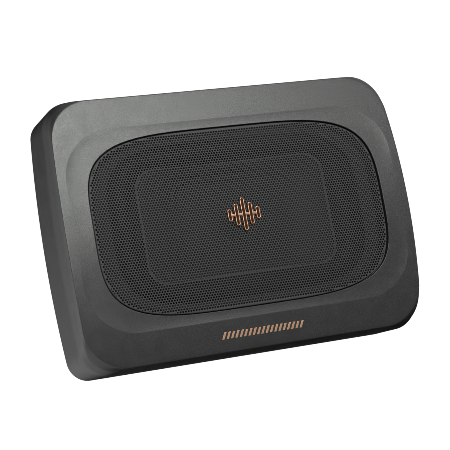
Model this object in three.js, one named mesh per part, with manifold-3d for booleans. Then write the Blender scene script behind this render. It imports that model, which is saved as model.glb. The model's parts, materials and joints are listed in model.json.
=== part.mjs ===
// Powered car subwoofer: a flat amplified bass enclosure with a rounded-rectangular driver.
// Millimetres, +Z up. The unit lies on its four feet, the grille faces up, X runs along the long side
// and the connector bay opens towards +Y. The origin is the middle of the footprint, on the floor.

import * as THREE from 'three';
import { mergeVertices } from 'three/addons/utils/BufferGeometryUtils.js';
import Module from 'manifold-3d';

const wasm = await Module();
wasm.setup();

// ---------------------------------------------------------------------------------------------
// Driving dimensions
// ---------------------------------------------------------------------------------------------

const FOOT_HEIGHT = 4;
const SHELL_HEIGHT = 64.25;
const CROWN_TOP = FOOT_HEIGHT + SHELL_HEIGHT;
const CROWN_BEND = 9.12e-4; // fall of the arched top, per square of the distance from the X axis
const CREASE_Z = CROWN_TOP - 20.5;

const DISH_DEPTH = 0.65; // shallow dish round the grille
const DISH_FADE = 0.85; // share of that depth lost in the middle of each end
const DISH_FADE_WIDTH = 32;
const GRILLE_DROP = 1.8; // grille below the arched top
const GRILLE_THICKNESS = 1.2;
const DECK_TOP = 59.5; // flat deck that the driver hangs from
const DECK_THICKNESS = 3;
const GAP = 0.3; // between pieces that touch

const BASE_BOTTOM = 4.6;
const BASE_TOP = 7.6;
const BOARD_BOTTOM = 12;
const BOARD_THICKNESS = 1.6;
const BOARD_TOP = BOARD_BOTTOM + BOARD_THICKNESS;

const BAY_CENTRE_Z = 24;
const BAY_LENGTH = 148;
const BAY_HEIGHT = 22;
const BAY_FLOOR_Y = 85.8; // outer face of the bay's floor, which carries the connectors
const BAY_BACK_Y = 84;

const COIL_RADIUS = 20; // outside radius of the voice coil former
const MAGNET_RADIUS = 50;
const YOKE_BOTTOM = 10;

// Outlines, each as half length, half width and corner radius, or half axes and exponent.
const FACE_EDGE = { length: 131.4, width: 94.8, corner: 29, bow: 4.3 };
const SHOULDER = { length: 132.1, width: 95.6, corner: 22, bow: 4.3 };
const CREASE = { length: 133.3, width: 97.0, corner: 18, bow: 4.4 };
const RIM = { length: 132.4, width: 96.4, corner: 14.25, bow: 4.57 };
const GRILLE_EDGE = { half_x: 110.4, half_y: 64.9, power: 4 };
const DISH_EDGE = { length: 124.5, width: 72.3, corner: 37, bow: 0 };
const SURROUND_EDGE = { half_x: 98.5, half_y: 60.3, power: 4 };
const CONE_EDGE = { length: 74, width: 42.3, corner: 15, bow: 0 };
const CONE_PANEL = { length: 47, width: 32, corner: 12, bow: 0 };

// ---------------------------------------------------------------------------------------------
// Colours
// ---------------------------------------------------------------------------------------------

function finish(color, roughness, metalness) {
  return new THREE.MeshStandardMaterial({ color, roughness, metalness });
}

const SATIN_PAINT = finish(0x72756f, 0.45, 0.6);
const GRILLE_PAINT = finish(0x4a4c4a, 0.5, 0.5);
const COPPER = finish(0xc07a4e, 0.25, 1);
const BARE_ALUMINIUM = finish(0xa7a9a8, 0.4, 1);
const BLACK_PLASTIC = finish(0x18191a, 0.55, 0);
const WHITE_PLASTIC = finish(0xdcdcd4, 0.5, 0);
const RED_PLASTIC = finish(0xa81e1c, 0.45, 0);
const RUBBER = finish(0x151515, 0.85, 0);
const FOAM = finish(0x232323, 0.95, 0);
const PULP = finish(0x2c2c2e, 0.8, 0);
const BLACK_STEEL = finish(0x222324, 0.5, 0.8);
const ZINC_STEEL = finish(0xb9bcc0, 0.3, 1);
const FERRITE = finish(0x303033, 0.75, 0.1);
const COIL_WIRE = finish(0xa05a2c, 0.35, 0.9);
const WOVEN_RESIN = finish(0xb98a4a, 0.85, 0);
const BOARD_GREEN = finish(0x1f5234, 0.5, 0);
const CAN_SLEEVE = finish(0x1c2433, 0.4, 0.1);
const NICKEL = finish(0xc9c7bf, 0.25, 1);
const LED_BLUE = finish(0x5f8fd8, 0.2, 0);

// ---------------------------------------------------------------------------------------------
// Geometry helpers
// ---------------------------------------------------------------------------------------------

// Distance from the centre to an outline, looking in one direction.
function reach(outline, angle) {
  const c = Math.cos(angle);
  const s = Math.sin(angle);
  if (outline.radius) return outline.radius;
  if (outline.power) {
    const { half_x, half_y, power } = outline;
    return (Math.abs(c / half_x) ** power + Math.abs(s / half_y) ** power) ** (-1 / power);
  }
  const { length, width, corner, bow } = outline;
  const inside = (distance) => {
    const y = Math.abs(distance * s);
    const x = Math.abs(distance * c) / (1 - (bow * (y / width) ** 2) / length);
    const past_x = x - (length - corner);
    const past_y = y - (width - corner);
    const round = Math.hypot(Math.max(past_x, 0), Math.max(past_y, 0));
    return round + Math.min(Math.max(past_x, past_y), 0) <= corner;
  };
  let near = 0;
  let far = length + width;
  for (let step = 0; step < 48; step += 1) {
    const middle = (near + far) / 2;
    if (inside(middle)) near = middle;
    else far = middle;
  }
  return near;
}

// Directions round a rounded rectangle, close together at its corners.
function directionsFor(outline, sideSteps, cornerSteps, endSteps) {
  const { length, width, corner } = outline;
  const quarter = [];
  for (let i = 0; i < endSteps; i += 1) {
    quarter.push([length, ((width - corner) * i) / endSteps]);
  }
  for (let i = 0; i < cornerSteps; i += 1) {
    const turn = ((Math.PI / 2) * i) / cornerSteps;
    quarter.push([
      length - corner + corner * Math.cos(turn),
      width - corner + corner * Math.sin(turn),
    ]);
  }
  for (let i = 0; i < sideSteps; i += 1) {
    quarter.push([(length - corner) * (1 - i / sideSteps), width]);
  }
  const angles = quarter.map(([x, y]) => Math.atan2(y, x));
  const half = [...angles, Math.PI / 2, ...angles.slice(1).reverse().map((a) => Math.PI - a)];
  return [...half, ...half.map((a) => a + Math.PI)];
}

const BODY_DIRECTIONS = directionsFor({ length: 132, width: 96, corner: 24 }, 5, 5, 3);
const DRIVER_DIRECTIONS = directionsFor({ length: 84, width: 50, corner: 22 }, 4, 4, 2);

// Height of a surface parallel to the arched top and some way below it.
function arched(below) {
  return (x, y) => CROWN_TOP - CROWN_BEND * y * y - below;
}

function grown(outline, by) {
  if (outline.power) {
    return { ...outline, half_x: outline.half_x + by, half_y: outline.half_y + by };
  }
  return { ...outline, length: outline.length + by, width: outline.width + by };
}

// A skin through rings of points, one ring for each [outline, height] pair. A ring-shaped solid
// closes on its first ring; any other is closed by a flat fan over each end.
function loft(directions, sections, ringShaped = false) {
  const count = directions.length;
  const points = [];
  const faces = [];
  for (const [outline, height] of sections) {
    for (const angle of directions) {
      const distance = typeof outline === 'function' ? outline(angle) : reach(outline, angle);
      const x = distance * Math.cos(angle);
      const y = distance * Math.sin(angle);
      points.push(x, y, typeof height === 'function' ? height(x, y) : height);
    }
  }
  const spans = ringShaped ? sections.length : sections.length - 1;
  for (let ring = 0; ring < spans; ring += 1) {
    const here = ring * count;
    const there = ((ring + 1) % sections.length) * count;
    for (let i = 0; i < count; i += 1) {
      const next = (i + 1) % count;
      faces.push(here + i, here + next, there + next, here + i, there + next, there + i);
    }
  }
  if (!ringShaped) {
    for (const ring of [0, sections.length - 1]) {
      const height = sections[ring][1];
      const hub = points.length / 3;
      points.push(0, 0, typeof height === 'function' ? height(0, 0) : height);
      for (let i = 0; i < count; i += 1) {
        const a = ring * count + i;
        const b = ring * count + ((i + 1) % count);
        if (ring === 0) faces.push(hub, b, a);
        else faces.push(hub, a, b);
      }
    }
  }
  const geometry = new THREE.BufferGeometry();
  geometry.setAttribute('position', new THREE.Float32BufferAttribute(points, 3));
  geometry.setIndex(faces);
  return geometry;
}

// A closed three.js geometry as a solid that can be joined and cut.
function solid(geometry) {
  const bare = geometry.clone();
  bare.deleteAttribute('normal');
  bare.deleteAttribute('uv');
  const merged = mergeVertices(bare, 1e-4);
  const spot = merged.getAttribute('position');
  const index = merged.index.array;
  const corner = [new THREE.Vector3(), new THREE.Vector3(), new THREE.Vector3()];
  const kept = [];
  let volume = 0;
  for (let i = 0; i < index.length; i += 3) {
    const [a, b, c] = [index[i], index[i + 1], index[i + 2]];
    if (a === b || b === c || c === a) continue;
    kept.push([a, b, c]);
    [a, b, c].forEach((vertex, k) => corner[k].fromBufferAttribute(spot, vertex));
    volume += corner[0].dot(corner[1].cross(corner[2]));
  }
  if (volume < 0) kept.forEach((face) => face.reverse());
  return new wasm.Manifold(
    new wasm.Mesh({
      numProp: 3,
      vertProperties: Float32Array.from(spot.array),
      triVerts: Uint32Array.from(kept.flat()),
    }),
  );
}

function geometryOf(shape) {
  const mesh = shape.getMesh();
  const geometry = new THREE.BufferGeometry();
  geometry.setAttribute('position', new THREE.BufferAttribute(mesh.vertProperties, 3));
  geometry.setIndex(new THREE.BufferAttribute(mesh.triVerts, 1));
  const facets = geometry.toNonIndexed();
  facets.computeVertexNormals();
  return facets;
}

// A box between two corners.
function box(low, high) {
  const size = high.map((value, k) => value - low[k]);
  const middle = high.map((value, k) => (value + low[k]) / 2);
  return solid(new THREE.BoxGeometry(...size).translate(...middle));
}

// The same from its centre and size.
function boxAbout(centre, size) {
  return box(
    centre.map((value, k) => value - size[k] / 2),
    centre.map((value, k) => value + size[k] / 2),
  );
}

// A turned solid about +Z, from [radius, height] points that start and end on the axis or close.
function turned(profile, segments = 16, x = 0, y = 0) {
  const points = profile.map(([radius, height]) => new THREE.Vector2(radius, height));
  return solid(new THREE.LatheGeometry(points, segments).rotateX(Math.PI / 2).translate(x, y, 0));
}

// The same about +Y, for what sticks out of the connector bay.
function turnedOut(profile, segments, x, z) {
  const points = profile.map(([radius, depth]) => new THREE.Vector2(radius, depth));
  return solid(new THREE.LatheGeometry(points, segments).translate(x, 0, z));
}

function disc(radius, bottom, top, segments = 16, x = 0, y = 0) {
  return turned([[0, bottom], [radius, bottom], [radius, top], [0, top]], segments, x, y);
}

function peg(radius, back, front, segments, x, z) {
  return turnedOut([[0, back], [radius, back], [radius, front], [0, front]], segments, x, z);
}

function tube(inner, outer, bottom, top, segments = 24) {
  return turned(
    [[inner, bottom], [outer, bottom], [outer, top], [inner, top], [inner, bottom]],
    segments,
  );
}

const subwoofer = new THREE.Group();

function add(name, shape, material) {
  const mesh = new THREE.Mesh(geometryOf(shape), material);
  mesh.name = name;
  subwoofer.add(mesh);
}

// ---------------------------------------------------------------------------------------------
// Fastener positions
// ---------------------------------------------------------------------------------------------

const BASE_SCREWS = [
  [117, 81],
  [-117, 81],
  [-117, -81],
  [117, -81],
  [121, 0],
  [-121, 0],
];
const FEET = [
  [98, 68],
  [-98, 68],
  [-98, -68],
  [98, -68],
];
const BRACKET_BOSSES = [
  [117, 44],
  [-117, 44],
  [-117, -44],
  [117, -44],
];
const BOARD_SCREWS = [
  [80, 78],
  [-80, 78],
  [0, 57],
];

// The driver's screws sit on a superellipse halfway across its flange.
const DRIVER_SCREW_LINE = { half_x: 103.6, half_y: 62, power: 4 };
const DRIVER_SCREWS = [0, 32, 148, 180, 212, 328].map((degrees) => {
  const angle = THREE.MathUtils.degToRad(degrees);
  const distance = reach(DRIVER_SCREW_LINE, angle);
  return [distance * Math.cos(angle), distance * Math.sin(angle)];
});

// ---------------------------------------------------------------------------------------------
// Enclosure
// ---------------------------------------------------------------------------------------------

const OPENING = grown(GRILLE_EDGE, 0.9);
const LEDGE_BELOW = 4.3; // grille ledge below the arched top
const LEDGE_INNER = { half_x: 107, half_y: 61.5, power: 4 };
const RECESS_OUTER = { half_x: 110, half_y: 64.5, power: 4 };
const DRIVER_CUTOUT = { half_x: 96, half_y: 58, power: 4 };
const GASKET_STEP = { length: 129.4, width: 93.4, corner: 11.3, bow: 4.5 };
const INNER_LOW = { length: 126.9, width: 90.9, corner: 10, bow: 4.5 };
const GASKET_TOP = 8.9;
const BOSS_RADIUS = 4.5;

// The dish between the grille and the outer part of the face, steepest at its outer edge.
function dishRing(along) {
  const outline = (angle) =>
    THREE.MathUtils.lerp(reach(OPENING, angle), reach(DISH_EDGE, angle), along);
  const height = (x, y) => {
    const kept = 1 - DISH_FADE * Math.exp(-((y / DISH_FADE_WIDTH) ** 2));
    return arched(DISH_DEPTH * kept * (1 - along ** 1.6))(x, y);
  };
  return [outline, height];
}

function bayOpening(back, front, clearance) {
  const half_x = BAY_LENGTH / 2 + clearance;
  const half_z = BAY_HEIGHT / 2 + clearance;
  return box(
    [-half_x, back, BAY_CENTRE_Z - half_z],
    [half_x, front, BAY_CENTRE_Z + half_z],
  );
}

function makeTopCover() {
  const skin = [
    [DRIVER_CUTOUT, DECK_TOP],
    [LEDGE_INNER, DECK_TOP],
    [LEDGE_INNER, arched(LEDGE_BELOW)],
    [OPENING, arched(LEDGE_BELOW)],
    dishRing(0),
    dishRing(0.6),
    [DISH_EDGE, arched(0)],
    [FACE_EDGE, arched(0)],
    [SHOULDER, arched(3.2)],
    [CREASE, CREASE_Z],
    [RIM, FOOT_HEIGHT],
    [GASKET_STEP, FOOT_HEIGHT],
    [GASKET_STEP, GASKET_TOP],
    [INNER_LOW, GASKET_TOP],
    [{ length: 128.6, width: 92.3, corner: 14, bow: 4.4 }, CREASE_Z],
    [{ length: 127.6, width: 91.2, corner: 18, bow: 4.3 }, arched(8)],
    [{ length: 124, width: 88, corner: 20, bow: 4.3 }, arched(4)],
    [{ half_x: 116, half_y: 70.5, power: 4 }, arched(4.6)],
    [{ half_x: 113.5, half_y: 68, power: 4 }, arched(7.5)],
    [RECESS_OUTER, arched(7.7)],
    [RECESS_OUTER, DECK_TOP - DECK_THICKNESS],
    [DRIVER_CUTOUT, DECK_TOP - DECK_THICKNESS],
  ];
  let cover = solid(loft(BODY_DIRECTIONS, skin, true));
  for (const [x, y] of BASE_SCREWS) {
    const ceiling = arched(5)(x, y);
    cover = cover.add(disc(BOSS_RADIUS, BASE_TOP + GAP, ceiling, 10, x, y));
    cover = cover.subtract(disc(1.8, BASE_TOP, 26, 8, x, y));
  }
  for (const [x, y] of DRIVER_SCREWS) {
    cover = cover.subtract(disc(1.7, DECK_TOP - 2 * DECK_THICKNESS, DECK_TOP + 1, 8, x, y));
  }
  return cover.subtract(bayOpening(BAY_BACK_Y, 100, 0));
}

function makeBasePlate() {
  const edge = grown(GASKET_STEP, -0.4);
  let plate = solid(loft(BODY_DIRECTIONS, [[edge, BASE_BOTTOM], [edge, BASE_TOP]]));
  for (let rib = 0; rib < 6; rib += 1) {
    const y = -50 + rib * 20;
    plate = plate.add(box([-80, y - 1.5, BASE_BOTTOM - 1.2], [80, y + 1.5, BASE_BOTTOM + 1]));
  }
  for (const [x, y] of BOARD_SCREWS) {
    plate = plate.add(disc(3.5, BASE_TOP - 1, BOARD_BOTTOM - GAP, 10, x, y));
    plate = plate.subtract(disc(1.5, BASE_TOP - 2, BOARD_BOTTOM, 8, x, y));
  }
  for (const [x, y] of BRACKET_BOSSES) {
    plate = plate.add(disc(6.5, 1.2, BASE_BOTTOM + 1, 14, x, y));
    plate = plate.subtract(disc(2.5, 1, BASE_TOP - 1.4, 10, x, y));
  }
  for (const [x, y] of BASE_SCREWS) {
    const hole = [[0, 4], [3.8, 4], [3.8, 5.9], [2, 7.7], [2, 8], [0, 8]];
    plate = plate.subtract(turned(hole, 10, x, y));
  }
  return plate;
}

// A countersunk screw, head down, that runs up into the cover.
function makeBaseScrew(x, y) {
  const profile = [[0, 4.9], [3.3, 4.9], [3.3, 5.7], [1.5, 7.5], [1.5, 24], [0, 24.6]];
  return turned(profile, 10, x, y);
}

function makeBaseGasket() {
  const outer = grown(GASKET_STEP, -0.4);
  const inner = grown(GASKET_STEP, -2.3);
  const low = BASE_TOP + 0.2;
  const high = GASKET_TOP - 0.25;
  const skin = [[inner, low], [outer, low], [outer, high], [inner, high]];
  return solid(loft(BODY_DIRECTIONS, skin, true));
}

function makeFoot(x, y) {
  const top = BASE_BOTTOM - GAP;
  return turned([[0, 0], [8, 0], [9, top], [0, top]], 16, x, y);
}

add('top_cover', makeTopCover(), SATIN_PAINT);
add('base_plate', makeBasePlate(), BARE_ALUMINIUM);
add('base_gasket', makeBaseGasket(), FOAM);
BASE_SCREWS.forEach(([x, y], i) => add(`base_screw_${i + 1}`, makeBaseScrew(x, y), BLACK_STEEL));
FEET.forEach(([x, y], i) => add(`foot_${i + 1}`, makeFoot(x, y), RUBBER));

// ---------------------------------------------------------------------------------------------
// Grille, badge and inlay
// ---------------------------------------------------------------------------------------------

function fraction(outline, part) {
  return (angle) => reach(outline, angle) * part;
}

function makeGrille() {
  const parts = [0.45, 0.78, 1];
  const bottom = arched(GRILLE_DROP + GRILLE_THICKNESS);
  const top = arched(GRILLE_DROP);
  const skin = [
    ...parts.map((part) => [fraction(GRILLE_EDGE, part), bottom]),
    ...parts.reverse().map((part) => [fraction(GRILLE_EDGE, part), top]),
  ];
  return solid(loft(BODY_DIRECTIONS, skin));
}

function makeGrilleSeal() {
  const outer = grown(GRILLE_EDGE, 0.2);
  const inner = grown(LEDGE_INNER, 0.6);
  const top = arched(GRILLE_DROP + GRILLE_THICKNESS + 0.25);
  const bottom = arched(LEDGE_BELOW - 0.25);
  const skin = [[inner, bottom], [outer, bottom], [outer, top], [inner, top]];
  return solid(loft(BODY_DIRECTIONS, skin, true));
}

// A plain badge of five level bars on a thin strip.
function makeBadge() {
  const heights = [9, 16, 24, 16, 9];
  const base = CROWN_TOP - GRILLE_DROP + 0.1;
  let badge = box([-12.4, -1.6, base], [12.4, 1.6, base + 0.8]);
  heights.forEach((height, i) => {
    const x = (i - 2) * 5.4;
    badge = badge.add(box([x - 1.5, -height / 2, base], [x + 1.5, height / 2, base + 1.6]));
  });
  return badge;
}

// A slim strip let into the face below the grille.
const INLAY_Y = -83.2;
function makeInlay() {
  const half_length = 31.5;
  const half_width = 2.4;
  const tilt = Math.atan(-2 * CROWN_BEND * INLAY_Y);
  const strip = new THREE.BoxGeometry(2 * half_length, 2 * half_width, 0.4);
  strip.rotateX(tilt).translate(1, INLAY_Y, arched(0)(0, INLAY_Y) + 0.25);
  return solid(strip);
}

add('grille', makeGrille(), GRILLE_PAINT);
add('grille_seal', makeGrilleSeal(), FOAM);
add('badge', makeBadge(), COPPER);
add('face_inlay', makeInlay(), COPPER);

// ---------------------------------------------------------------------------------------------
// Driver: rounded-rectangular bass loudspeaker hung under the deck
// ---------------------------------------------------------------------------------------------

const FLANGE_EDGE = { half_x: 108, half_y: 63, power: 4 };
const FLANGE_TOP = 54.8;
const FLANGE_BOTTOM = 52.4;
const BASKET_FLOOR = 35.4;
const BASKET_UNDERSIDE = 33;
const SPIDER_SEAT = 40.6;

function makeDriverGasket() {
  const inner = grown(SURROUND_EDGE, 0.8);
  const low = FLANGE_TOP + 0.25;
  const high = DECK_TOP - DECK_THICKNESS - 0.25;
  const skin = [[inner, low], [FLANGE_EDGE, low], [FLANGE_EDGE, high], [inner, high]];
  let gasket = solid(loft(DRIVER_DIRECTIONS, skin, true));
  for (const [x, y] of DRIVER_SCREWS) {
    gasket = gasket.subtract(disc(1.9, low - 1, high + 1, 8, x, y));
  }
  return gasket;
}

// Vents through the sloping walls of the basket, two on each side.
function basketWindows() {
  const windows = [];
  for (const side of [-1, 1]) {
    for (const half of [-1, 1]) {
      windows.push(boxAbout([half * 37, side * 58, 41.4], [38, 24, 4.4]));
      windows.push(boxAbout([side * 77.5, half * 17, 41.2], [35, 18, 6]));
    }
  }
  return windows;
}

function makeBasket() {
  const skin = [
    [{ half_x: 93, half_y: 55.5, power: 4 }, FLANGE_TOP],
    [FLANGE_EDGE, FLANGE_TOP],
    [FLANGE_EDGE, FLANGE_BOTTOM],
    [{ half_x: 95.5, half_y: 58, power: 4 }, FLANGE_BOTTOM],
    [{ length: 90, width: 54, corner: 22, bow: 0 }, 45],
    [{ radius: 52 }, BASKET_FLOOR + 0.4],
    [{ radius: 50 }, BASKET_UNDERSIDE],
    [{ radius: 24 }, BASKET_UNDERSIDE],
    [{ radius: 24 }, BASKET_FLOOR],
    [{ radius: 49 }, BASKET_FLOOR],
    [{ length: 88, width: 52, corner: 20, bow: 0 }, 46.4],
  ];
  let basket = solid(loft(DRIVER_DIRECTIONS, skin, true));
  basket = basket.add(tube(40.5, 44.5, BASKET_FLOOR - 1, SPIDER_SEAT));
  for (const window of basketWindows()) basket = basket.subtract(window);
  for (const [x, y] of DRIVER_SCREWS) {
    basket = basket.subtract(disc(1.9, FLANGE_BOTTOM - 1, FLANGE_TOP + 1, 8, x, y));
  }
  return basket;
}

// Half-roll surround: its outer lip lies on the flange, its inner lip on the cone.
const LIP_BOTTOM = FLANGE_TOP + GAP;
const LIP_THICKNESS = 0.8;
const ROLL_HEIGHT = 4.2;

function makeSurround() {
  const roll_outer = { half_x: 94.5, half_y: 57, power: 4 };
  const inner_lip = grown(CONE_EDGE, -3);
  const steps = 4;
  const rollRing = (step, sunk) => {
    const along = step / steps;
    const outline = (angle) =>
      THREE.MathUtils.lerp(reach(roll_outer, angle), reach(CONE_EDGE, angle), along);
    const slope = THREE.MathUtils.lerp(LIP_BOTTOM, LIP_BOTTOM - 1.5, along);
    return [outline, slope + LIP_THICKNESS - sunk + ROLL_HEIGHT * Math.sin(Math.PI * along)];
  };
  const order = Array.from({ length: steps + 1 }, (_, step) => step);
  const skin = [
    [SURROUND_EDGE, LIP_BOTTOM + LIP_THICKNESS],
    ...order.map((step) => rollRing(step, 0)),
    [inner_lip, LIP_BOTTOM - 1.5 + LIP_THICKNESS],
    [inner_lip, LIP_BOTTOM - 1.5],
    ...order.reverse().map((step) => rollRing(step, LIP_THICKNESS)),
    [SURROUND_EDGE, LIP_BOTTOM],
  ];
  return solid(loft(DRIVER_DIRECTIONS, skin, true));
}

const CONE_TOP = LIP_BOTTOM - 1.5 - GAP;
const PANEL_SEAT = CONE_TOP - 2.6;

function makeCone() {
  const thickness = 1.2;
  const neck = { radius: COIL_RADIUS + 0.7 };
  const skin = [
    [neck, PANEL_SEAT - 4.4],
    [grown(CONE_PANEL, -4), PANEL_SEAT - 0.6],
    [grown(CONE_PANEL, 1.4), PANEL_SEAT],
    [grown(CONE_EDGE, -4), CONE_TOP],
    [CONE_EDGE, CONE_TOP],
    [CONE_EDGE, CONE_TOP - thickness],
    [grown(CONE_EDGE, -3), CONE_TOP - thickness],
    [grown(CONE_PANEL, 1.6), PANEL_SEAT - thickness],
    [grown(CONE_PANEL, -4), PANEL_SEAT - 0.6 - thickness],
    [neck, PANEL_SEAT - 4.4 - thickness],
  ];
  return solid(loft(DRIVER_DIRECTIONS, skin, true));
}

// The flat centre panel, which closes the cone over the voice coil.
function makeConePanel() {
  const skin = [
    [CONE_PANEL, PANEL_SEAT + GAP],
    [CONE_PANEL, PANEL_SEAT + 1.3],
    [grown(CONE_PANEL, -2), PANEL_SEAT + 1.7],
    [grown(CONE_PANEL, -4), PANEL_SEAT + 1.2],
  ];
  return solid(loft(DRIVER_DIRECTIONS, skin));
}

function makeSpider() {
  const inner = COIL_RADIUS + 0.6;
  const outer = 44;
  const low = SPIDER_SEAT + GAP;
  const folds = 8;
  const line = Array.from({ length: folds + 1 }, (_, i) => {
    const height = low + (i % 2 ? 1.6 : 0);
    return [THREE.MathUtils.lerp(inner, outer, i / folds), height];
  });
  const upper = line.map(([radius, height]) => [radius, height + 0.6]);
  return turned([...line, ...upper.reverse(), line[0]], 24);
}

const POLE_TOP = BASKET_UNDERSIDE - GAP;
const TOP_PLATE_BOTTOM = POLE_TOP - 5;
const MAGNET_TOP = TOP_PLATE_BOTTOM - GAP;
const MAGNET_BOTTOM = 16.3;

function makeYoke() {
  const profile = [
    [0, YOKE_BOTTOM],
    [46, YOKE_BOTTOM],
    [MAGNET_RADIUS - 2, YOKE_BOTTOM + 2],
    [MAGNET_RADIUS - 2, MAGNET_BOTTOM - GAP],
    [COIL_RADIUS - 1.2, MAGNET_BOTTOM - GAP],
    [COIL_RADIUS - 1.2, POLE_TOP],
    [6, POLE_TOP],
    [4, YOKE_BOTTOM + 8],
    [0, YOKE_BOTTOM + 8],
  ];
  return turned(profile, 24);
}

add('driver_gasket', makeDriverGasket(), FOAM);
add('basket', makeBasket(), BLACK_STEEL);
add('surround', makeSurround(), RUBBER);
add('cone', makeCone(), PULP);
add('cone_panel', makeConePanel(), PULP);
add('spider', makeSpider(), WOVEN_RESIN);
add('coil_former', tube(COIL_RADIUS - 0.4, COIL_RADIUS, 21, PANEL_SEAT - 3), BARE_ALUMINIUM);
add('voice_coil', tube(COIL_RADIUS + 0.05, COIL_RADIUS + 0.9, 22.2, 38), COIL_WIRE);
add('top_plate', tube(COIL_RADIUS + 1.7, MAGNET_RADIUS - 2, TOP_PLATE_BOTTOM, POLE_TOP), ZINC_STEEL);
add('magnet', tube(COIL_RADIUS + 4, MAGNET_RADIUS, MAGNET_BOTTOM, MAGNET_TOP), FERRITE);
add('yoke', makeYoke(), ZINC_STEEL);

function makeDriverScrew(x, y) {
  const head = FLANGE_BOTTOM - GAP;
  const profile = [
    [0, head - 2],
    [2.2, head - 2],
    [2.7, head - 1],
    [2.7, head],
    [1.3, head],
    [1.3, DECK_TOP - 0.4],
    [0, DECK_TOP - 0.2],
  ];
  return turned(profile, 10, x, y);
}

DRIVER_SCREWS.forEach(([x, y], i) => {
  add(`driver_screw_${i + 1}`, makeDriverScrew(x, y), ZINC_STEEL);
});

// Push-on terminals in a wedge-shaped block against the sloping end of the basket.
function makeTerminalBlock() {
  const side = new THREE.Shape([
    new THREE.Vector2(69, 39.5),
    new THREE.Vector2(91, 39.5),
    new THREE.Vector2(91, 43.5),
    new THREE.Vector2(85, 43.5),
  ]);
  const wedge = new THREE.ExtrudeGeometry(side, { depth: 12, bevelEnabled: false });
  const block = solid(wedge.rotateX(Math.PI / 2).translate(0, 6, 0));
  const tab = (y) => box([90, y - 1.6, 41.1], [95, y + 1.6, 41.9]);
  return block.add(tab(3)).add(tab(-3));
}
add('driver_terminals', makeTerminalBlock(), BLACK_PLASTIC);

// ---------------------------------------------------------------------------------------------
// Amplifier board
// ---------------------------------------------------------------------------------------------

const BOARD_PARTS_Z = BOARD_TOP + GAP;

function makeBoard() {
  let board = box([-86, 52, BOARD_BOTTOM], [86, 82.5, BOARD_TOP]);
  for (const [x, y] of BOARD_SCREWS) {
    board = board.subtract(disc(1.6, BOARD_BOTTOM - 1, BOARD_TOP + 1, 8, x, y));
  }
  return board;
}

function makeBoardScrew(x, y) {
  const seat = BOARD_TOP + GAP;
  const profile = [
    [0, 6.4],
    [1.2, 6.8],
    [1.2, seat],
    [2.7, seat],
    [2.7, seat + 1],
    [1.8, seat + 2],
    [0, seat + 2],
  ];
  return turned(profile, 10, x, y);
}

// A wound ring standing on the board, with its axis upright.
function makeToroid() {
  const profile = [[5, 0], [9, 0], [10, 1], [10, 8], [9, 9], [5, 9], [4, 8], [4, 1], [5, 0]];
  const lifted = profile.map(([radius, height]) => [radius, height + BOARD_PARTS_Z]);
  return turned(lifted, 20, -58, 63);
}

function makeCapacitor(x) {
  const foot = BOARD_PARTS_Z;
  const head = foot + 22;
  const profile = [[0, foot], [7.6, foot], [8, foot + 0.5], [8, head - 1], [7.4, head], [0, head]];
  return turned(profile, 16, x, 64);
}

// A thin chip with its tab against the heat spreader.
function makeTransistor(x) {
  const body = box([x - 5, 51.6, 19], [x + 5, 55.6, 33]);
  return body.add(box([x - 1.5, 53, BOARD_PARTS_Z], [x + 1.5, 54.2, 19.5]));
}

add('amplifier_board', makeBoard(), BOARD_GREEN);
BOARD_SCREWS.forEach(([x, y], i) => add(`board_screw_${i + 1}`, makeBoardScrew(x, y), ZINC_STEEL));
add('toroid_choke', makeToroid(), COIL_WIRE);
add('capacitor_1', makeCapacitor(-32), CAN_SLEEVE);
add('capacitor_2', makeCapacitor(-13), CAN_SLEEVE);
add('transistor_1', makeTransistor(56), BLACK_PLASTIC);
add('transistor_2', makeTransistor(72), BLACK_PLASTIC);
add('heat_spreader', box([48, 43, BASE_TOP + GAP], [80, 51.3, 31]), BARE_ALUMINIUM);

// ---------------------------------------------------------------------------------------------
// Connector bay
// ---------------------------------------------------------------------------------------------

const POWER = { x: 56, width: 24, height: 14, wall: 2, depth: 9, front: 95 };
const SPEAKER = { x: 31, width: 18, height: 12, wall: 1.8, depth: 9, front: 94 };
const REMOTE = { x: -23, width: 13, height: 12, wall: 1.6, depth: 10, front: 90 };
const SOCKET_BACK = 73;
const SOCKET_FIT = 0.4; // slack of a socket in its hole
const RCA_X = [10, -6];
const RCA_Z = 23;
const SWITCH_X = -37;
const SWITCH_Z = [30, 18];
const KNOB_X = [-50, -65];
const LED_X = -14;
const LED_Z = 31;
const SOCKET_BOTTOM = BOARD_PARTS_Z + 2;
const SLOT_HALF = 3.6;
const SLIDER_HALF = 1.6;

// A block across the bay that stands out from a socket's outline by the given margin.
function socketBlock({ x, width, height }, margin, back, front) {
  const half = width / 2 + margin;
  return box(
    [x - half, back, SOCKET_BOTTOM - margin],
    [x + half, front, SOCKET_BOTTOM + height + margin],
  );
}

// A rectangular socket whose hollow opens towards +Y.
function makeSocket(socket) {
  const { wall, depth, front } = socket;
  const hollow = socketBlock(socket, -wall, front - depth, front + 1);
  return socketBlock(socket, 0, SOCKET_BACK, front).subtract(hollow);
}

function makeRca(x) {
  const profile = [
    [0, 72],
    [5, 72],
    [5, 85],
    [4.6, 86.6],
    [4.15, 86.6],
    [4.15, 95.4],
    [3.7, 95.8],
    [1.7, 95.8],
    [1.7, 88],
    [0, 88],
  ];
  const barrel = turnedOut(profile, 12, x, RCA_Z);
  return barrel.add(box([x - 4.5, 72, BOARD_PARTS_Z], [x + 4.5, 82, RCA_Z - 3]));
}

function switchSlot(z, back, front) {
  return box(
    [SWITCH_X - SLOT_HALF, back, z - SLIDER_HALF - 0.3],
    [SWITCH_X + SLOT_HALF, front, z + SLIDER_HALF + 0.3],
  );
}

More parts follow.
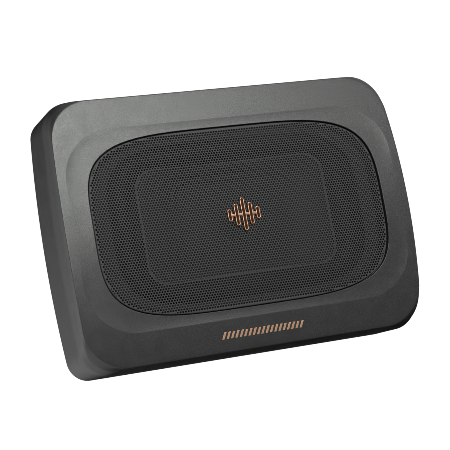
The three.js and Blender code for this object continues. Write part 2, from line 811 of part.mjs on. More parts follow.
function makeBay() {
  const half_x = BAY_LENGTH / 2;
  const half_z = BAY_HEIGHT / 2;
  const flange = box(
    [-half_x - 5, 88.7, BAY_CENTRE_Z - half_z - 4],
    [half_x + 5, 90.4, BAY_CENTRE_Z + half_z + 4],
  );
  const tray = bayOpening(BAY_BACK_Y, 90.2, 1.6);
  let bay = flange.add(tray).subtract(bayOpening(BAY_FLOOR_Y, 92, 0));
  const back = BAY_BACK_Y - 4;
  const front = BAY_FLOOR_Y + 4;
  const holes = [
    ...[POWER, SPEAKER, REMOTE].map((socket) => socketBlock(socket, SOCKET_FIT, back, front)),
    ...RCA_X.map((x) => peg(5.5, back, front, 12, x, RCA_Z)),
    ...KNOB_X.map((x) => peg(3.6, back, front, 12, x, BAY_CENTRE_Z)),
    ...SWITCH_Z.map((z) => switchSlot(z, back, front)),
    peg(2, back, front, 10, LED_X, LED_Z),
  ];
  for (const hole of holes) bay = bay.subtract(hole);
  return bay;
}

// The fixed half of a slide switch: a can with a track that the slider runs in.
function makeSwitchBody(z) {
  const can = box([SWITCH_X - 6, 76, z - 3.4], [SWITCH_X + 6, BAY_BACK_Y - 0.2, z + 3.4]);
  return can.subtract(switchSlot(z, 79, 86));
}

function makeSlider(x, z) {
  return box([x - SLIDER_HALF, 79.3, z - SLIDER_HALF], [x + SLIDER_HALF, 89.5, z + SLIDER_HALF]);
}

// A potentiometer on the back of the bay, with a hole that the knob's shaft turns in.
function makePotentiometer(x) {
  const half = 5.5;
  const can = box(
    [x - half, 74, BAY_CENTRE_Z - half],
    [x + half, BAY_BACK_Y - 0.2, BAY_CENTRE_Z + half],
  );
  const leg = box([x - 4, 76, BOARD_PARTS_Z], [x + 4, 78, BAY_CENTRE_Z - 5]);
  return can.add(leg).subtract(peg(3.3, 76, 90, 12, x, BAY_CENTRE_Z));
}

// A knob with its shaft and a pointer groove across the front.
function makeKnob(x) {
  const profile = [
    [0, 76.3],
    [3, 76.3],
    [3, 86.6],
    [5.4, 86.6],
    [5.4, 92],
    [4.9, 94.6],
    [0, 94.6],
  ];
  const groove = box([x - 0.6, 93.4, BAY_CENTRE_Z], [x + 0.6, 96, BAY_CENTRE_Z + 6]);
  return turnedOut(profile, 14, x, BAY_CENTRE_Z).subtract(groove);
}

function makeLed() {
  const profile = [[0, 82.5], [1.6, 82.5], [1.6, 86.4], [1.1, 87.3], [0, 87.6]];
  return turnedOut(profile, 10, LED_X, LED_Z);
}

add('connector_bay', makeBay(), BLACK_PLASTIC);
add('power_socket', makeSocket(POWER), BLACK_PLASTIC);
add('speaker_input_socket', makeSocket(SPEAKER), WHITE_PLASTIC);
add('remote_socket', makeSocket(REMOTE), BLACK_PLASTIC);
add('rca_jack_left', makeRca(RCA_X[0]), NICKEL);
add('rca_jack_right', makeRca(RCA_X[1]), NICKEL);
add('phase_switch', makeSwitchBody(SWITCH_Z[0]), ZINC_STEEL);
add('mode_switch', makeSwitchBody(SWITCH_Z[1]), ZINC_STEEL);
add('phase_slider', makeSlider(SWITCH_X - 1.75, SWITCH_Z[0]), WHITE_PLASTIC);
add('mode_slider', makeSlider(SWITCH_X, SWITCH_Z[1]), WHITE_PLASTIC);
add('gain_pot', makePotentiometer(KNOB_X[0]), BLACK_PLASTIC);
add('crossover_pot', makePotentiometer(KNOB_X[1]), BLACK_PLASTIC);
add('gain_knob', makeKnob(KNOB_X[0]), RED_PLASTIC);
add('crossover_knob', makeKnob(KNOB_X[1]), BLACK_PLASTIC);
add('status_led', makeLed(), LED_BLUE);

export default subwoofer;
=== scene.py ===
import json
import math

import bmesh
import bpy
import numpy as np
from mathutils import Matrix, Vector
from mathutils.geometry import delaunay_2d_cdt


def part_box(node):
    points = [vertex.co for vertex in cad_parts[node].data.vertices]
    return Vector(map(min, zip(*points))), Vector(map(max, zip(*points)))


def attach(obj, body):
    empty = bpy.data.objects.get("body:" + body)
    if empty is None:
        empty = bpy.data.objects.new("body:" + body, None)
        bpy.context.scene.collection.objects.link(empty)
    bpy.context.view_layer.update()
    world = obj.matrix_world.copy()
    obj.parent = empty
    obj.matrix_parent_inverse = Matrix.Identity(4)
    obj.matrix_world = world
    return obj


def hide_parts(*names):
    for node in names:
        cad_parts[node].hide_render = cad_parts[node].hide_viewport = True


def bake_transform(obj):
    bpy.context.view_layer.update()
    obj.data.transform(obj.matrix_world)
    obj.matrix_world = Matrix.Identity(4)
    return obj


# Looks of a powered car subwoofer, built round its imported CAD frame. Lengths here are millimetres and
# become metres when a mesh is made. +Z is up, X runs along the long side, the connector bay faces +Y,
# and the origin is the middle of the footprint, on the floor.

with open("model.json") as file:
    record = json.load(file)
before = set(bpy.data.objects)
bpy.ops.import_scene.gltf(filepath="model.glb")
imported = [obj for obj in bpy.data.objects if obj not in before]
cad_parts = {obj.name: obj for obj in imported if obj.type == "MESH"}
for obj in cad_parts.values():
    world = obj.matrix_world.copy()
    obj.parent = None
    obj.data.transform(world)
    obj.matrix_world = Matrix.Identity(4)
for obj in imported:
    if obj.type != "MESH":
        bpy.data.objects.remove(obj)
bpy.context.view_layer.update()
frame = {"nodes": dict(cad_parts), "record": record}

MM = 0.001


def span(node):
    """Lowest and highest corners of a CAD node, in millimetres."""
    low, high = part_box(node)
    return np.array(low) / MM, np.array(high) / MM


# ---- Driving dimensions ----

COVER_LOW, COVER_HIGH = span("top_cover")
GRILLE_LOW, GRILLE_HIGH = span("grille")
BADGE_LOW, BADGE_HIGH = span("badge")
INLAY_LOW, INLAY_HIGH = span("face_inlay")

CROWN_TOP = COVER_HIGH[2]
RIM_Z = COVER_LOW[2]
CROWN_BEND = 9.12e-4  # fall of the arched top, per square of the distance from the X axis
CREASE_DROP = 20.5
DISH_DEPTH = 0.65
DISH_FADE = 0.85  # share of the depth that is lost in the middle of each end
DISH_FADE_WIDTH = 32.0
DISH_EASE = 1.6  # power by which the dish rises to its edge
CORNER_EASE = 2.2  # what is added to it in the four corners, round this place
CORNER_X, CORNER_X_FADE = 85, 20
CORNER_Y, CORNER_Y_WIDTH = 48, 18
GRILLE_DROP = CROWN_TOP - GRILLE_HIGH[2]
GRILLE_THICKNESS = 1.2
LEDGE_BELOW = 4.3
DECK_TOP = 59.5
DECK_THICKNESS = 3.0
GASKET_TOP = 8.9

HOLE_PITCH = 2.0
HOLE_RADIUS = 0.8
HOLE_CORNERS = 8
HOLE_SMALLEST = 0.35
GRILLE_BORDER = 0.55  # unpierced edge of the grille sheet
GRILLE_EDGE_TURN = 0.45  # width over which that edge turns down
SHEET_THICKNESS = 0.7  # of the sheet itself; its turned edge is as deep as the CAD grille

# ---- Outlines and rings ----


SQUARENESS = 4.0  # of every superellipse: 2 is an ellipse


def superellipse(half_x, half_y):
    """Distance from the centre to a superellipse, for an array of directions."""

    def reach(angles):
        along = np.abs(np.cos(angles) / half_x) ** SQUARENESS
        across = np.abs(np.sin(angles) / half_y) ** SQUARENESS
        return (along + across) ** (-1 / SQUARENESS)

    return reach


def bowed(length, width, corner, bow=0.0):
    """The same for a rounded rectangle, by half sizes, whose ends bow outwards in the middle."""

    def reach(angles):
        near = np.zeros_like(angles)
        far = np.full_like(angles, length + width)
        for _ in range(40):
            middle = (near + far) / 2
            y = np.abs(middle * np.sin(angles))
            x = np.abs(middle * np.cos(angles)) / (1 - bow * (y / width) ** 2 / length)
            past_x = x - (length - corner)
            past_y = y - (width - corner)
            past = np.hypot(np.maximum(past_x, 0), np.maximum(past_y, 0))
            inside = past + np.minimum(np.maximum(past_x, past_y), 0) <= corner
            near = np.where(inside, middle, near)
            far = np.where(inside, far, middle)
        return near

    return reach


def circle(radius):
    return lambda angles: np.full_like(angles, radius)


def drawn_in(outline, inset):
    return lambda angles: outline(angles) - inset


def even_directions(outline, count):
    """Directions whose points on the outline are evenly spaced."""
    angles = np.linspace(0, 2 * math.pi, 8 * count + 1)
    reach = outline(angles)
    x, y = reach * np.cos(angles), reach * np.sin(angles)
    walked = np.concatenate([[0], np.cumsum(np.hypot(np.diff(x), np.diff(y)))])
    return np.interp(np.linspace(0, walked[-1], count + 1)[:-1], walked, angles)


def ring(directions, outline, below, arch=1.0):
    """One ring of a loft: its distances, its depths below the crown, and its share of the arch."""
    depths = np.broadcast_to(below, directions.shape)
    return np.concatenate([outline(directions), depths, [arch]])


def level(directions, outline, height):
    """A ring that lies flat at a height."""
    return ring(directions, outline, CROWN_TOP - height, 0.0)


def flat_keys(directions, *stations):
    """Keys of flat rings for softened(). Each station is (outline, height, softness, steps)."""
    return [(level(directions, outline, height), *rest) for outline, height, *rest in stations]


def ring_points(directions, one):
    count = len(directions)
    reach, below, arch = one[:count], one[count:-1], one[-1]
    x, y = reach * np.cos(directions), reach * np.sin(directions)
    return np.stack([x, y, CROWN_TOP - below - arch * CROWN_BEND * y * y], axis=1)


def softened(directions, keys, closed=False):
    """Rings through the key rings. Each key is (ring, softness, steps): its corner is rounded over that
    softness, and the stretch after it is split into that many steps."""
    points = [ring_points(directions, key[0]) for key in keys]
    count = len(keys)
    rings = []
    for i, (here, softness, steps) in enumerate(keys):
        before, after = keys[i - 1][0], keys[(i + 1) % count][0]
        to_before = np.linalg.norm(points[i - 1] - points[i], axis=1).mean()
        to_after = np.linalg.norm(points[(i + 1) % count] - points[i], axis=1).mean()
        free_end = not closed and i in (0, count - 1)
        if softness and not free_end:
            start = here + (before - here) * min(0.45, softness / to_before)
            end = here + (after - here) * min(0.45, softness / to_after)
            bends = 4 if softness < 1 else 7
            for t in np.linspace(0, 1, bends + 1):
                rings.append((1 - t) ** 2 * start + 2 * t * (1 - t) * here + t * t * end)
        else:
            rings.append(here)
        if steps > 1 and (closed or i < count - 1):
            next_softness = keys[(i + 1) % count][1]
            first = rings[-1]
            last = after + (here - after) * min(0.45, next_softness / to_after)
            for t in np.linspace(0, 1, steps + 1)[1:-1]:
                rings.append(first + (last - first) * t)
    return rings


# ---- Mesh making ----


def band_faces(count, first, second):
    """Quads between two rings of the same number of points, given by their first indices."""
    around = np.arange(count)
    following = (around + 1) % count
    return np.stack(
        [first + around, first + following, second + following, second + around], axis=1
    ).tolist()


def loft_mesh(directions, rings, closed=False, capped=False):
    """Points and faces of a skin through rings, joined into a loop or capped at both ends."""
    count = len(directions)
    points = np.concatenate([ring_points(directions, one) for one in rings])
    spans = len(rings) if closed else len(rings) - 1
    faces = []
    for i in range(spans):
        faces += band_faces(count, i * count, (i + 1) % len(rings) * count)
    if capped:
        faces.append(list(range(count))[::-1])
        faces.append([(len(rings) - 1) * count + i for i in range(count)])
    return points, faces


def mesh_object(name, points, faces):
    mesh = bpy.data.meshes.new(name)
    mesh.from_pydata((np.asarray(points, float) * MM).tolist(), [], faces)
    mesh.update()
    made = bpy.data.objects.new(name, mesh)
    bpy.context.scene.collection.objects.link(made)
    return made


def face_outwards(made):
    """Turns every face of a closed mesh outwards."""
    shape = bmesh.new()
    shape.from_mesh(made.data)
    bmesh.ops.recalc_face_normals(shape, faces=shape.faces)
    shape.to_mesh(made.data)
    shape.free()


def smooth(made, degrees=35):
    made.data.shade_smooth()
    made.data.set_sharp_from_angle(angle=math.radians(degrees))


def settle(made, slot, *nodes, body="enclosure", material=None):
    """Gives a piece its body and its slot's material or another, and hides the CAD nodes that it stands
    for.
    """
    made.data.materials.append(material or FINISHES[slot])
    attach(made, body)
    if nodes:
        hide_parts(*nodes)


def cut(target, cutter, operation="DIFFERENCE"):
    """Applies a boolean to a mesh and removes the tool."""
    modifier = target.modifiers.new(operation.lower(), "BOOLEAN")
    modifier.operation = operation
    modifier.solver = "EXACT"
    modifier.object = cutter
    bpy.context.view_layer.update()
    evaluated = target.evaluated_get(bpy.context.evaluated_depsgraph_get())
    result = bpy.data.meshes.new_from_object(evaluated)
    target.modifiers.remove(modifier)
    target.data = result
    bpy.data.objects.remove(cutter)


# ---- Turned and drawn shapes ----


def filleted(corners, radius, closed=False, steps=3):
    """The corners of a profile, each rounded over that length."""
    corners = np.array(corners, float)
    count = len(corners)
    rounded = []
    for i, here in enumerate(corners):
        if not closed and i in (0, count - 1):
            rounded.append(here)
            continue
        before, after = corners[i - 1] - here, corners[(i + 1) % count] - here
        before = before * min(0.45, radius / max(np.linalg.norm(before), 1e-6))
        after = after * min(0.45, radius / max(np.linalg.norm(after), 1e-6))
        for t in np.linspace(0, 1, steps + 1):
            rounded.append(here + (1 - t) ** 2 * before + t * t * after)
    return rounded


def round_outline(count=48, flutes=0, flute_depth=0.0):
    """Circles by radius, with shallow flutes if asked."""
    turn = np.linspace(0, 2 * math.pi, count, endpoint=False)

    def outline(radius):
        waved = radius - flute_depth * (0.5 - 0.5 * np.cos(flutes * turn)) * (radius > 2)
        return np.stack([waved * np.cos(turn), waved * np.sin(turn)], axis=1)

    return outline


def rectangle_outline(size, corner, steps=5):
    """Rounded rectangles by how far they are drawn in from a size."""
    half = np.array(size, float) / 2
    quarter = np.linspace(0, math.pi / 2, steps + 1)
    turn = np.concatenate([quarter + side * math.pi / 2 for side in range(4)])
    sides = np.repeat([(1, 1), (-1, 1), (-1, -1), (1, -1)], steps + 1, axis=0)

    def outline(inset):
        radius = max(corner - inset, 0.02)
        rounding = radius * np.stack([np.cos(turn), np.sin(turn)], axis=1)
        return sides * (half - inset - radius) + rounding

    return outline


def drawn(outline, profile, at=(0, 0), axis="Z", closed=False, fillet=0.2, steps=3):
    """A skin through the outlines at (value, position) stations along an axis."""
    stations = filleted(profile, fillet, closed, steps) if fillet else profile
    loops = []
    for value, position in stations:
        flat = outline(value) + at
        loops.append(np.column_stack([flat, np.full(len(flat), position)]))
    count = len(loops[0])
    faces = []
    for i in range(len(loops) if closed else len(loops) - 1):
        faces += band_faces(count, i * count, (i + 1) % len(loops) * count)
    if not closed:
        faces.append(list(range(count)))
        faces.append([(len(loops) - 1) * count + i for i in range(count)])
    points = np.concatenate(loops)
    return (points if axis == "Z" else points[:, [0, 2, 1]]), faces


def turned(profile, at=(0, 0), axis="Z", closed=False, fillet=0.2, count=48):
    return drawn(round_outline(count), profile, at, axis, closed, fillet)


def block(low, high, corner=0.6, edge=0.2, axis="Z"):
    """A box with rounded corners round an axis and softened ends."""
    low, high = np.array(low, float), np.array(high, float)
    a, b, c = (0, 1, 2) if axis == "Z" else (0, 2, 1)
    centre = (low + high) / 2
    size = (high[a] - low[a], high[b] - low[b])
    profile = [(2 * edge, low[c]), (0, low[c]), (0, high[c]), (2 * edge, high[c])]
    return drawn(rectangle_outline(size, corner), profile, centre[[a, b]], axis, fillet=edge)


def post(x, y, half_x, half_y, low, high, corner, edge, axis="Z"):
    """A block from low to high along an axis, round a place across it."""
    if axis == "Z":
        return block((x - half_x, y - half_y, low), (x + half_x, y + half_y, high), corner, edge)
    return block((x - half_x, low, y - half_y), (x + half_x, high, y + half_y), corner, edge, "Y")


def moved(shape, offset):
    points, faces = shape
    return points + np.array(offset, float), faces


def joined(parts):
    """Several (points, faces) as one."""
    points, faces, offset = [], [], 0
    for some_points, some_faces in parts:
        points.append(np.asarray(some_points, float))
        faces += [[i + offset for i in face] for face in some_faces]
        offset += len(some_points)
    return np.concatenate(points), faces


def made_from(name, *shapes, sharp=35):
    """One mesh object from closed shapes, facing outwards."""
    made = mesh_object(name, *joined(shapes))
    face_outwards(made)
    smooth(made, sharp)
    return made


def lofted(name, directions, keys, closed=True):
    """One mesh object through softened rings, joined into a loop or else capped at both ends."""
    rings = softened(directions, keys, closed)
    made = mesh_object(name, *loft_mesh(directions, rings, closed, not closed))
    face_outwards(made)
    smooth(made, 40)
    return made


def carve(target, *shapes, sharp=35):
    """Cuts closed shapes out of a piece, one by one, so that they may cross."""
    for shape in shapes:
        cut(target, made_from("cutter", shape))
    smooth(target, sharp)


def centre_of(node):
    low, high = span(node)
    return (low + high) / 2


# ---- Materials ----


class Surface:
    """A material with one Principled shader, and short ways to drive it from textures."""

    def __init__(self, name, color, metallic=0.0, roughness=0.5):
        self.material = bpy.data.materials.new(name)
        self.material.use_nodes = True
        self.tree = self.material.node_tree
        self.tree.nodes.clear()
        output = self.add("ShaderNodeOutputMaterial")
        self.shader = self.add("ShaderNodeBsdfPrincipled")
        self.link(self.shader.outputs[0], output.inputs[0])
        self.shader.inputs["Base Color"].default_value = (*color, 1)
        self.shader.inputs["Metallic"].default_value = metallic
        self.shader.inputs["Roughness"].default_value = roughness
        self.color, self.roughness = color, roughness
        self.place = self.add("ShaderNodeTexCoord").outputs["Object"]

    def add(self, kind, **settings):
        node = self.tree.nodes.new(kind)
        for name, value in settings.items():
            setattr(node, name, value)
        return node

    def link(self, output, target):
        self.tree.links.new(output, target)

    def stretched(self, x, y, z):
        """The object's coordinates, scaled along each axis."""
        mapping = self.add("ShaderNodeMapping")
        mapping.inputs["Scale"].default_value = (x, y, z)
        self.link(self.place, mapping.inputs["Vector"])
        return mapping.outputs[0]

    def noise(self, size, detail=3.0, place=None):
        """Noise whose features are about that many millimetres across."""
        node = self.add("ShaderNodeTexNoise")
        node.inputs["Scale"].default_value = 1 / (size * MM)
        node.inputs["Detail"].default_value = detail
        self.link(place or self.place, node.inputs["Vector"])
        return node.outputs["Fac"]

    def cells(self, size):
        node = self.add("ShaderNodeTexVoronoi")
        node.inputs["Scale"].default_value = 1 / (size * MM)
        self.link(self.place, node.inputs["Vector"])
        return node

    def spread(self, value, low, high):
        """The middle range of a noise mapped to another range."""
        node = self.add("ShaderNodeMapRange")
        limits = {"From Min": 0.3, "From Max": 0.7, "To Min": low, "To Max": high}
        for name, limit in limits.items():
            node.inputs[name].default_value = limit
        self.link(value, node.inputs["Value"])
        return node.outputs[0]

    def mixed(self, factor, first, second):
        """A colour between two, each a colour or a socket."""
        node = self.add("ShaderNodeMix", data_type="RGBA")
        self.link(factor, node.inputs[0])
        for socket, value in ((node.inputs[6], first), (node.inputs[7], second)):
            if isinstance(value, bpy.types.NodeSocket):
                self.link(value, socket)
            else:
                socket.default_value = (*value, 1)
        return node.outputs[2]

    def vary_color(self, factor, amount):
        """Makes the colour lighter and darker by that share."""
        low = tuple(c * (1 - amount) for c in self.color)
        high = tuple(c * (1 + amount) for c in self.color)
        self.link(self.mixed(factor, low, high), self.shader.inputs["Base Color"])

    def vary_roughness(self, factor, amount):
        rough = self.spread(factor, self.roughness - amount, self.roughness + amount)
        self.link(rough, self.shader.inputs["Roughness"])

    def bump(self, height, depth):
        """Relief of that many millimetres."""
        node = self.add("ShaderNodeBump")
        node.inputs["Distance"].default_value = depth * MM
        node.inputs["Strength"].default_value = 1.0
        self.link(height, node.inputs["Height"])
        self.link(node.outputs[0], self.shader.inputs["Normal"])


def varied(name, color, metallic, roughness, tone, relief, gloss=None, specular=None):
    """A material with noise in its tone, its relief in millimetres and, if asked, its gloss.
    Each is (amount, size of the features) or (amount, size, detail)."""
    surface = Surface(name, color, metallic, roughness)
    surface.vary_color(surface.noise(*tone[1:]), tone[0])
    surface.bump(surface.noise(*relief[1:]), relief[0])
    if gloss:
        surface.vary_roughness(surface.noise(*gloss[1:]), gloss[0])
    if specular is not None:
        surface.shader.inputs["Specular IOR Level"].default_value = specular
    return surface.material


def satin_paint():
    """Dark metallic paint with fine flakes over a slightly rough casting."""
    paint = Surface("satin_paint", (0.074, 0.0765, 0.0735), 0.85, 0.38)
    paint.vary_color(paint.cells(0.7).outputs["Distance"], 0.36)
    paint.vary_roughness(paint.noise(9), 0.03)
    paint.bump(paint.noise(0.9, 2), 0.024)
    return paint.material


def shaded_recess_paint():
    """The thin, dull coat of the deck, made darker as painted shade in the recess under the grille and on
    the walls of the grille's holes.
    """
    return varied(
        "shaded_recess_paint", (0.008, 0.008, 0.008), 0.0, 0.8,
        tone=(0.3, 6), relief=(0.02, 0.6, 2), specular=0.1,
    )


def deck_paint():
    """The same coat where it lies smoother, on the deck round the driver."""
    return varied(
        "deck_paint", (0.013, 0.0135, 0.013), 0.0, 0.6,
        tone=(0.2, 6), relief=(0.01, 0.6, 2), specular=0.25,
    )


def grille_paint():
    """Powder coat on pierced steel."""
    return varied(
        "grille_paint", (0.052, 0.055, 0.053), 0.0, 0.7,
        tone=(0.12, 0.4, 2), relief=(0.01, 0.3, 2), gloss=(0.04, 5), specular=0.3,
    )


def copper():
    """Polished rose copper plate."""
    return varied(
        "copper", (0.52, 0.31, 0.20), 1.0, 0.22,
        tone=(0.08, 3), relief=(0.004, 1.5, 2), gloss=(0.05, 1.2),
    )


def dark_copper():
    """Copper plate toned dark brown, in the sunk cores of the badge."""
    return varied(
        "dark_copper", (0.030, 0.014, 0.006), 0.9, 0.42,
        tone=(0.2, 2), relief=(0.006, 0.4, 2), gloss=(0.06, 1.5),
    )


def inlay_copper():
    """Satin copper print."""
    return varied("inlay_copper", (0.66, 0.40, 0.25), 0.7, 0.38, tone=(0.06, 0.6), relief=(0.004, 0.3, 2))


def bare_aluminium():
    """Blasted casting."""
    return varied(
        "bare_aluminium", (0.56, 0.57, 0.58), 1.0, 0.42,
        tone=(0.10, 7), relief=(0.03, 0.45, 3), gloss=(0.06, 2.5),
    )


def black_steel():
    """Powder coat with a little orange peel."""
    return varied(
        "black_steel", (0.016, 0.016, 0.017), 0.0, 0.48,
        tone=(0.25, 4), relief=(0.02, 0.8, 2), gloss=(0.05, 3),
    )


def zinc_steel():
    """Bright zinc plate with a faint yellow and blue bloom."""
    plate = Surface("zinc_steel", (0.64, 0.65, 0.67), 1.0, 0.28)
    bloom = plate.mixed(plate.spread(plate.noise(5), 0, 1), (0.68, 0.66, 0.58), (0.58, 0.62, 0.68))
    plate.link(bloom, plate.shader.inputs["Base Color"])
    plate.vary_roughness(plate.noise(1.5), 0.07)
    plate.bump(plate.noise(0.6, 3, plate.stretched(1, 1, 6)), 0.006)
    return plate.material


def moulded(name, color, roughness, grain):
    """Moulded plastic with a fine eroded grain."""
    plastic = Surface(name, color, 0.0, roughness)
    plastic.vary_color(plastic.noise(8), 0.08)
    plastic.vary_roughness(plastic.noise(2.5), 0.05)
    plastic.bump(plastic.cells(0.28).outputs["Distance"], grain)
    return plastic.material


def rubber():
    """Matt black rubber, uneven in tone."""
    return varied(
        "rubber", (0.004, 0.004, 0.004), 0.0, 0.5,
        tone=(0.35, 5), relief=(0.015, 0.35, 2), gloss=(0.08, 3), specular=0.1,
    )


def foam():
    """Closed-cell foam."""
    cells = Surface("foam", (0.010, 0.010, 0.010), 0.0, 0.95)
    cells.shader.inputs["Specular IOR Level"].default_value = 0.15
    pores = cells.cells(0.45).outputs["Distance"]
    cells.vary_color(pores, 0.5)
    cells.bump(pores, 0.12)
    return cells.material


def cone_board():
    """Pressed paper cone under a satin coat, with fibres showing through."""
    pulp = Surface("cone_board", (0.009, 0.009, 0.009), 0.0, 0.42)
    pulp.shader.inputs["Specular IOR Level"].default_value = 0.2
    pulp.vary_color(pulp.noise(1.4, 4, pulp.stretched(1, 0.3, 1)), 0.25)
    pulp.vary_roughness(pulp.noise(4), 0.06)
    pulp.bump(pulp.noise(0.7, 4, pulp.stretched(0.3, 1, 1)), 0.03)
    return pulp.material


def bead_glue_and_highlight():
    """Smooth grey glue that holds the surround to the cone, in a light grey that paints a highlight along
    the cone's edge.
    """
    return varied("bead_glue_and_highlight", (0.034, 0.035, 0.034), 0.0, 0.45, tone=(0.15, 3), relief=(0.02, 1.2, 2))


def woven_resin():
    """Cotton weave stiffened with amber resin."""
    cloth = Surface("woven_resin", (0.50, 0.33, 0.14), 0.0, 0.72)
    threads = []
    for axis in "XY":
        wave = cloth.add("ShaderNodeTexWave", bands_direction=axis)
        wave.inputs["Scale"].default_value = 0.314 / (0.8 * MM)
        wave.inputs["Distortion"].default_value = 0.4
        cloth.link(cloth.place, wave.inputs["Vector"])
        threads.append(wave.outputs["Fac"])
    weave = cloth.add("ShaderNodeMath", operation="MULTIPLY")
    cloth.link(threads[0], weave.inputs[0])
    cloth.link(threads[1], weave.inputs[1])
    cloth.vary_color(weave.outputs[0], 0.22)
    cloth.vary_roughness(cloth.noise(4), 0.05)
    cloth.bump(weave.outputs[0], 0.12)
    return cloth.material


def ferrite():
    """Sintered ferrite."""
    return varied(
        "ferrite", (0.045, 0.044, 0.046), 0.1, 0.7,
        tone=(0.25, 2.5, 4), relief=(0.05, 0.5, 4), gloss=(0.08, 2),
    )


def coil_wire():
    """Enamelled copper wire."""
    return varied(
        "coil_wire", (0.50, 0.20, 0.075), 0.9, 0.28,
        tone=(0.15, 1.5), relief=(0.01, 0.5, 2), gloss=(0.06, 1.2),
    )


def board_green():
    """Circuit board: solder mask over tracks."""
    board = Surface("board_green", (0.010, 0.085, 0.035), 0.0, 0.34)
    brick = board.add("ShaderNodeTexBrick", offset=0.37, offset_frequency=3, squash=1.7, squash_frequency=2)
    brick.inputs["Scale"].default_value = 1 / (9 * MM)
    brick.inputs["Mortar Size"].default_value = 0.035
    brick.inputs["Mortar Smooth"].default_value = 0.1
    board.link(board.place, brick.inputs["Vector"])
    tracks = board.mixed(brick.outputs["Fac"], (0.008, 0.070, 0.030), (0.020, 0.125, 0.050))
    board.link(tracks, board.shader.inputs["Base Color"])
    board.vary_roughness(board.noise(3), 0.05)
    board.bump(brick.outputs["Fac"], 0.05)
    return board.material


def can_sleeve():
    """Shrunk plastic sleeve."""
    return varied(
        "can_sleeve", (0.012, 0.018, 0.034), 0.0, 0.36,
        tone=(0.15, 4), relief=(0.02, 2.5, 2), gloss=(0.06, 2),
    )


def nickel():
    """Nickel plate, warm and bright."""
    return varied(
        "nickel", (0.68, 0.65, 0.59), 1.0, 0.2,
        tone=(0.06, 2), relief=(0.004, 0.5, 2), gloss=(0.06, 1),
    )


def led_blue():
    """Tinted clear lens."""
    lens = Surface("led_blue", (0.30, 0.50, 0.90), 0.0, 0.12)
    lens.shader.inputs["Transmission Weight"].default_value = 0.5
    lens.vary_color(lens.noise(0.8), 0.08)
    lens.vary_roughness(lens.noise(0.6), 0.03)
    lens.bump(lens.noise(0.4, 2), 0.003)
    return lens.material


def make_finishes():
    """One material for each material slot of the record."""
    made = (
        satin_paint, grille_paint, copper, bare_aluminium, black_steel, zinc_steel, rubber, foam,
        cone_board, woven_resin, ferrite, coil_wire, board_green, can_sleeve, nickel, led_blue,
    )
    return {
        **{make.__name__: make() for make in made},
        "black_plastic": moulded("black_plastic", (0.014, 0.014, 0.015), 0.46, 0.02),
        "white_plastic": moulded("white_plastic", (0.70, 0.70, 0.66), 0.42, 0.01),
        "red_plastic": moulded("red_plastic", (0.36, 0.022, 0.018), 0.40, 0.012),
    }


FINISHES = make_finishes()
# A darker copy of the deck's coat: painted shade for the recess and the grille's holes.
RECESS_SHADE_COAT = shaded_recess_paint()

# ---- Cover: one arched shell with a shallow dish round the grille ----

FACE_EDGE = bowed(131.4, 94.8, 29, 4.3)
SHOULDER = bowed(132.1, 95.6, 22, 4.3)
CREASE = bowed(133.3, 97.0, 18, 4.4)
RIM = bowed(132.4, 96.4, 14.25, 4.57)
GASKET_STEP = bowed(129.4, 93.4, 11.3, 4.5)
INNER_LOW = bowed(126.9, 90.9, 10, 4.5)
INNER_CREASE = bowed(128.6, 92.3, 14, 4.4)
INNER_SHOULDER = bowed(127.6, 91.2, 18, 4.3)
INNER_CEILING = bowed(124, 88, 20, 4.3)

GRILLE_HALF = (GRILLE_HIGH[:2] - GRILLE_LOW[:2]) / 2
OPENING = superellipse(GRILLE_HALF[0] + 0.9, GRILLE_HALF[1] + 0.9)
DISH_EDGE = bowed(124.5, 72.3, 37)
LEDGE_INNER = superellipse(107, 61.5)
RECESS_OUTER = superellipse(110, 64.5)
RECESS_TOP = superellipse(113.5, 68)
CEILING_EDGE = superellipse(116, 70.5)
DRIVER_CUTOUT = superellipse(96, 58)

COVER_DIRECTIONS = even_directions(CREASE, 440)
DISH_STEPS = 26


def cover_rings():
    at = COVER_DIRECTIONS

    def dish(along):
        """A ring between the opening and the dish's edge; the dish fades in the middle of each end."""
        between = OPENING(at) + (DISH_EDGE(at) - OPENING(at)) * along
        y = between * np.sin(at)
        depth = DISH_DEPTH * (1 - DISH_FADE * np.exp(-((y / DISH_FADE_WIDTH) ** 2)))
        x = np.abs(between * np.cos(at))
        corner = np.exp(-(((np.abs(y) - CORNER_Y) / CORNER_Y_WIDTH) ** 2))
        corner = corner * np.clip((x - CORNER_X) / CORNER_X_FADE, 0, 1)
        rise = along ** (DISH_EASE + CORNER_EASE * corner)
        return np.concatenate([between, depth * (1 - rise), [1.0]])

    keys = [
        (level(at, DRIVER_CUTOUT, DECK_TOP), 0.4, 1),
        (level(at, LEDGE_INNER, DECK_TOP), 0.3, 1),
        (ring(at, LEDGE_INNER, LEDGE_BELOW), 0.3, 1),
        (ring(at, OPENING, LEDGE_BELOW), 0.3, 1),
        (dish(0), 0.35, 1),
    ]
    keys += [(dish(step / DISH_STEPS), 0, 1) for step in range(1, DISH_STEPS)]
    keys += [
        (dish(1), 0.5, 8),
        (ring(at, FACE_EDGE, 0), 0.8, 2),
        (ring(at, SHOULDER, 3.2), 2.0, 5),
        (ring(at, CREASE, CREASE_DROP, 0), 3.5, 6),
        (level(at, RIM, RIM_Z), 1.0, 1),
        (level(at, GASKET_STEP, RIM_Z), 0.3, 1),
        (level(at, GASKET_STEP, GASKET_TOP), 0, 1),
        (level(at, INNER_LOW, GASKET_TOP), 0, 3),
        (ring(at, INNER_CREASE, CREASE_DROP, 0), 2.0, 3),
        (ring(at, INNER_SHOULDER, 8), 2.0, 1),
        (ring(at, INNER_CEILING, 4), 0, 2),
        (ring(at, CEILING_EDGE, 4.6), 0, 1),
        (ring(at, RECESS_TOP, 7.5), 0, 1),
        (ring(at, RECESS_OUTER, 7.7), 0, 1),
        (level(at, RECESS_OUTER, DECK_TOP - DECK_THICKNESS), 0.4, 1),
        (level(at, DRIVER_CUTOUT, DECK_TOP - DECK_THICKNESS), 0.4, 1),
    ]
    return softened(at, keys, closed=True)


